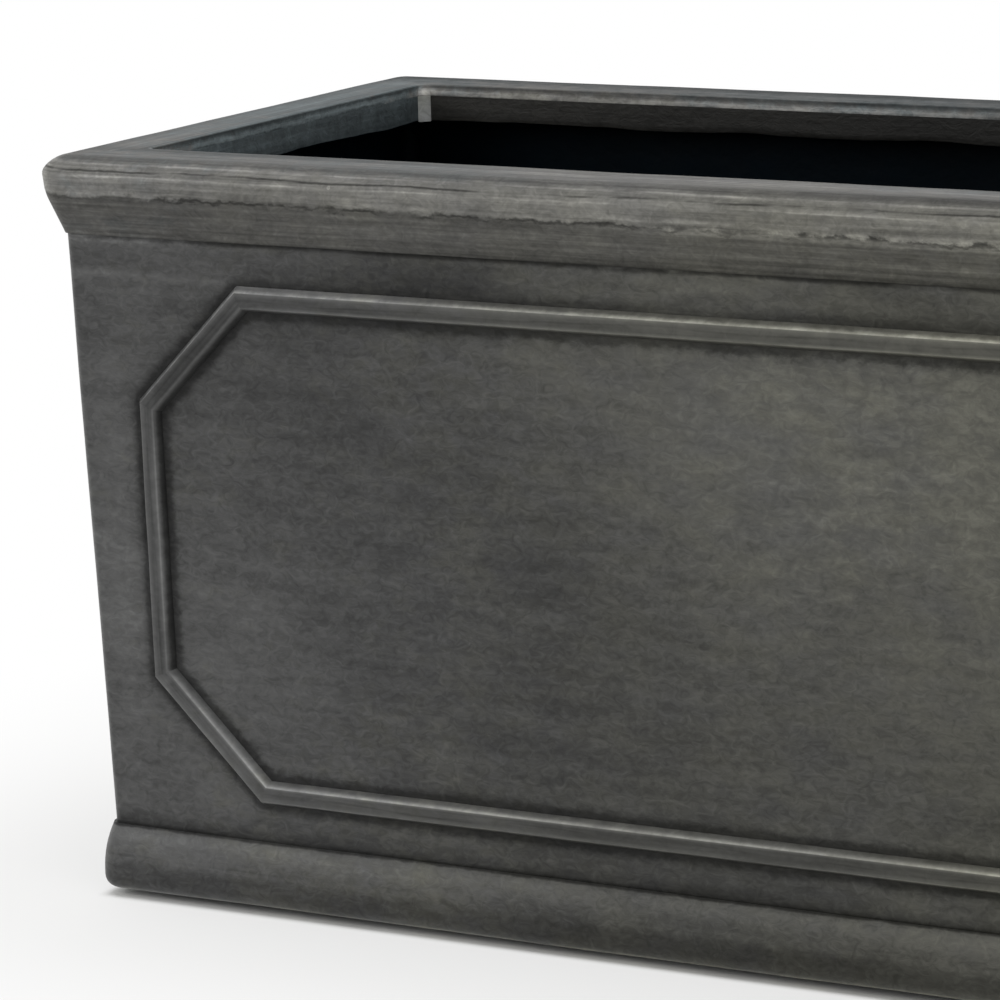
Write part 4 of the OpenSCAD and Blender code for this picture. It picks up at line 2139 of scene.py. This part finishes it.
CLOUD = Layer((0.17, 0.17, 0.12), 0.20, detail=1.5, warmth=0.25)
MOTTLE = Layer((0.026, 0.026, 0.015), 0.19, detail=4.0, rough=0.6, relief=0.4, warmth=0.4)
BRUSHED = Layer((0.045, 0.0060), 0.28, detail=4.0, rough=0.62, relief=0.2)
WORMS = Layer((0.0054, 0.0054, 0.0034), 0.44, detail=3.0, rough=0.6, twist=1.3, relief=0.6)
STREAKS = Layer((0.05, 0.0012), 0.14, relief=0.35)
BANDS = Layer((0.15, 0.0040), 0.42, detail=3.0, rough=0.6, relief=0.2)
WALL_LAYERS = (CLOUD, MOTTLE, BRUSHED, WORMS)
RIM_LAYERS = (
    CLOUD, Layer((0.026, 0.026, 0.015), 0.22, detail=4.0, rough=0.6, relief=0.4, warmth=0.12), BANDS,
    Layer((0.0052, 0.0052, 0.0036), 0.36, detail=3.0, rough=0.6, twist=1.6, relief=0.6),
    Layer((0.09, 0.0018), 0.40, detail=3.0, relief=0.4),
    Layer((0.014, 0.0035), 0.26, detail=3.0, rough=0.6),
)
STRAP_LAYERS = (
    CLOUD, Layer((0.03, 0.004), 0.26, detail=3.0), STREAKS,
    Layer((0.0062, 0.0062, 0.0042), 0.22, detail=3.0, rough=0.6, twist=1.2, relief=0.3),
)
STRIP_LAYERS = (
    Layer((0.12, 0.005), 0.50, detail=3.0, relief=0.3),
    Layer((0.05, 0.0022), 0.16, relief=0.3), WORMS,
)

LEFT_COOL = Patch((-0.46, -0.13, 0.15), (0.36, 0.3, 0.6), 0.0, -0.8)
RIGHT_WARM = Patch((0.12, -0.13, 0.15), (0.36, 0.3, 0.6), 0.0, 0.6)
WALL_PATCHES = (
    LEFT_COOL, RIGHT_WARM,
    Patch((-0.09, -0.13, 0.21), (0.19, 0.2, 0.09), 0.60),
    Patch((0.10, -0.13, 0.16), (0.30, 0.2, 0.22), 0.60),
    Patch((-0.33, -0.13, 0.10), (0.10, 0.2, 0.09), 0.38),
    Patch((-0.17, -0.13, 0.07), (0.17, 0.2, 0.08), -0.20),
    Patch((-0.17, -0.13, 0.17), (0.09, 0.2, 0.09), -0.25),
    Patch((0.01, -0.13, 0.07), (0.07, 0.2, 0.05), -0.40),
    Patch((-0.33, -0.13, 0.262), (0.10, 0.05, 0.02), 0.20),
    Patch((-0.372, -0.125, 0.2685), (0.06, 0.03, 0.004), 1.5),
    Patch((-0.24, -0.13, 0.21), (0.18, 0.2, 0.08), -0.20),
    Patch((-0.372, -0.13, 0.14), (0.022, 0.05, 0.12), 0.45),
    Patch((-0.225, -0.13, 0.262), (0.07, 0.05, 0.02), -0.50),
    Patch((-0.025, -0.13, 0.260), (0.07, 0.05, 0.02), -0.45),
)
RIM_PATCHES = (
    RIGHT_WARM,
    # A painted cool reflection of the sky over all the flat tops.
    Patch((0.0, 0.0, 0.3005), (2.0, 2.0, 0.005), 0.0, -0.22),
    # The left and back flats and the back ease are darker and cooler: painted shade and reflected sky
    # where the sheen falls differently on each side.
    Patch((-0.38, 0.04, 0.30), (0.07, 0.18, 0.05), -0.30, -0.50),
    Patch((0.0, 0.130, 0.30), (0.90, 0.034, 0.05), -2.0, -0.35),
    Patch((0.0, 0.138, 0.296), (0.90, 0.012, 0.02), -1.6, -0.4),
    Patch((0.10, -0.110, 0.30), (0.32, 0.020, 0.02), 0.25, -0.4),
    Patch((-0.33, -0.110, 0.30), (0.16, 0.012, 0.02), -0.8, -0.1),
    Patch((0.08, -0.137, 0.292), (0.26, 0.02, 0.012), 0.3),
    Patch((0.02, -0.1315, 0.299), (0.16, 0.010, 0.01), -0.5),
    Patch((-0.38, -0.135, 0.29), (0.06, 0.03, 0.012), 0.4),
    Patch((-0.02, -0.1345, 0.2843), (0.24, 0.016, 0.0028), 1.2),
    Patch((-0.32, -0.1385, 0.287), (0.06, 0.016, 0.004), -0.35),
    # A painted glint on the rounded corner of the opening above the back left fillet, with a lighter
    # area of the top beside it.
    Patch((-0.366, 0.106, 0.30), (0.030, 0.010, 0.01), 0.5, 0.2),
    Patch((-0.3634, 0.1034, 0.2972), (0.0056, 0.0056, 0.012), 0.7, 0.2),
    # A painted cool reflection on the left edge of the opening.
    Patch((-0.3655, -0.005, 0.2970), (0.007, 0.132, 0.0065), 0.0, -0.9),
    # Painted light on the back edge of the opening.
    Patch((0.0, 0.1055, 0.2967), (0.9, 0.012, 0.004), 0.6),
    Patch((-0.372, -0.125, 0.2685), (0.05, 0.03, 0.0022), 1.5),
)
PLINTH_PATCHES = (
    LEFT_COOL, RIGHT_WARM,
    Patch((-0.38, -0.13, 0.02), (0.26, 0.1, 0.05), 0.45),
    Patch((0.08, -0.13, 0.015), (0.20, 0.1, 0.05), 0.05),
)
STRAP_PATCHES = (
    LEFT_COOL, RIGHT_WARM,
    Patch((-0.335, -0.13, 0.228), (0.045, 0.05, 0.045), -0.60),
    # A painted highlight, mixed with rubbing, along the upper edge of the top run.
    Patch((-0.29, -0.13, 0.2519), (0.11, 0.05, 0.0017), 1.2),
    Patch((0.06, -0.13, 0.247), (0.28, 0.05, 0.03), 0.35),
    Patch((-0.3512, -0.13, 0.145), (0.0030, 0.05, 0.085), 0.9),
    # A painted highlight on the upward flank of the lower left diagonal.
    Patch((-0.335, -0.13, 0.069), (0.05, 0.05, 0.05), 0.55),
)


def make_finishes() -> dict[str, bpy.types.Material]:
    """Makes every finish of the trough.

    Returns:
        The materials by name.
    """
    leads = (
        LeadFinish("aged_lead", LEAD, WALL_ZONES, WALL_LAYERS, WALL_PATCHES, WALL_LINES,
                   # Wash with painted shade beside the straps.
                   wash_and_shade_by_straps=1.5, corner_rub=0.8),
        # The rim's strongly cool tint carries the painted reflection of the sky on its flat tops and on
        # the left edge of its opening.
        LeadFinish("rim_lead", LEAD, RIM_ZONES, RIM_LAYERS, RIM_PATCHES, RIM_LINES,
                   ragged=0.9 * MM, drift=1.0 * MM, corner_rub=0.35, specular=0.06, warmth=0.6,
                   warm=(1.02, 1.0, 0.89), plain=(1.01, 1.0, 0.99), cool=(0.84, 1.0, 1.08)),
        LeadFinish("plinth_lead", LEAD, PLINTH_ZONES, WALL_LAYERS, PLINTH_PATCHES, PLINTH_LINES,
                   ragged=0.5 * MM, drift=0.3 * MM, corner_rub=0.35, warmth=0.7),
        # The straps take painted highlight with their rubbing on faces that look up, and painted light
        # on faces that look down.
        LeadFinish("strap_lead", LEAD, STRAP_ZONES, STRAP_LAYERS, STRAP_PATCHES, STRAP_LINES,
                   ragged=0.15 * MM, drift=0.0, upward_rub_and_highlight=2.2, downward_painted_light=0.7),
        LeadFinish("dark_lead", (0.0115, 0.0112, 0.0108), STRIP_ZONES, STRIP_LAYERS,
                   (Patch((-0.37, 0.1, 0.29), (0.22, 0.05, 0.05), 1.3),), specular=0.2),
        # A lighter, bluer copy of dark_lead for the end strips: painted light and painted reflection of
        # the sky.
        LeadFinish("blue_lead", (0.058, 0.072, 0.082), STRIP_ZONES,
                   (*STRIP_LAYERS, Layer((0.007, 0.03), 0.45, detail=3.0, rough=0.6)),
                   (Patch((-0.366, -0.11, 0.29), (0.05, 0.09, 0.05), 1.0),)),
        LeadFinish("fillet_lead", (0.44, 0.45, 0.45), FILLET_ZONES, (MOTTLE, WORMS)),
    )
    finishes = {finish.name: finish.material() for finish in leads}
    for finish in (LaminateFinish(), RubberFinish()):
        finishes[finish.name] = finish.material()
    return finishes


def main() -> None:
    """Builds the studio and every piece in order."""
    logging.basicConfig(level=logging.INFO, format="%(name)s: %(message)s")
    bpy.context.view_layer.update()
    Studio().build()
    finishes = make_finishes()
    for maker in (WallShell, RimMoulding, PlinthMoulding, StrapPanel, ReturnStrips, Drainage, FootPads):
        maker(finishes).build()


if __name__ == "__main__":
    main()
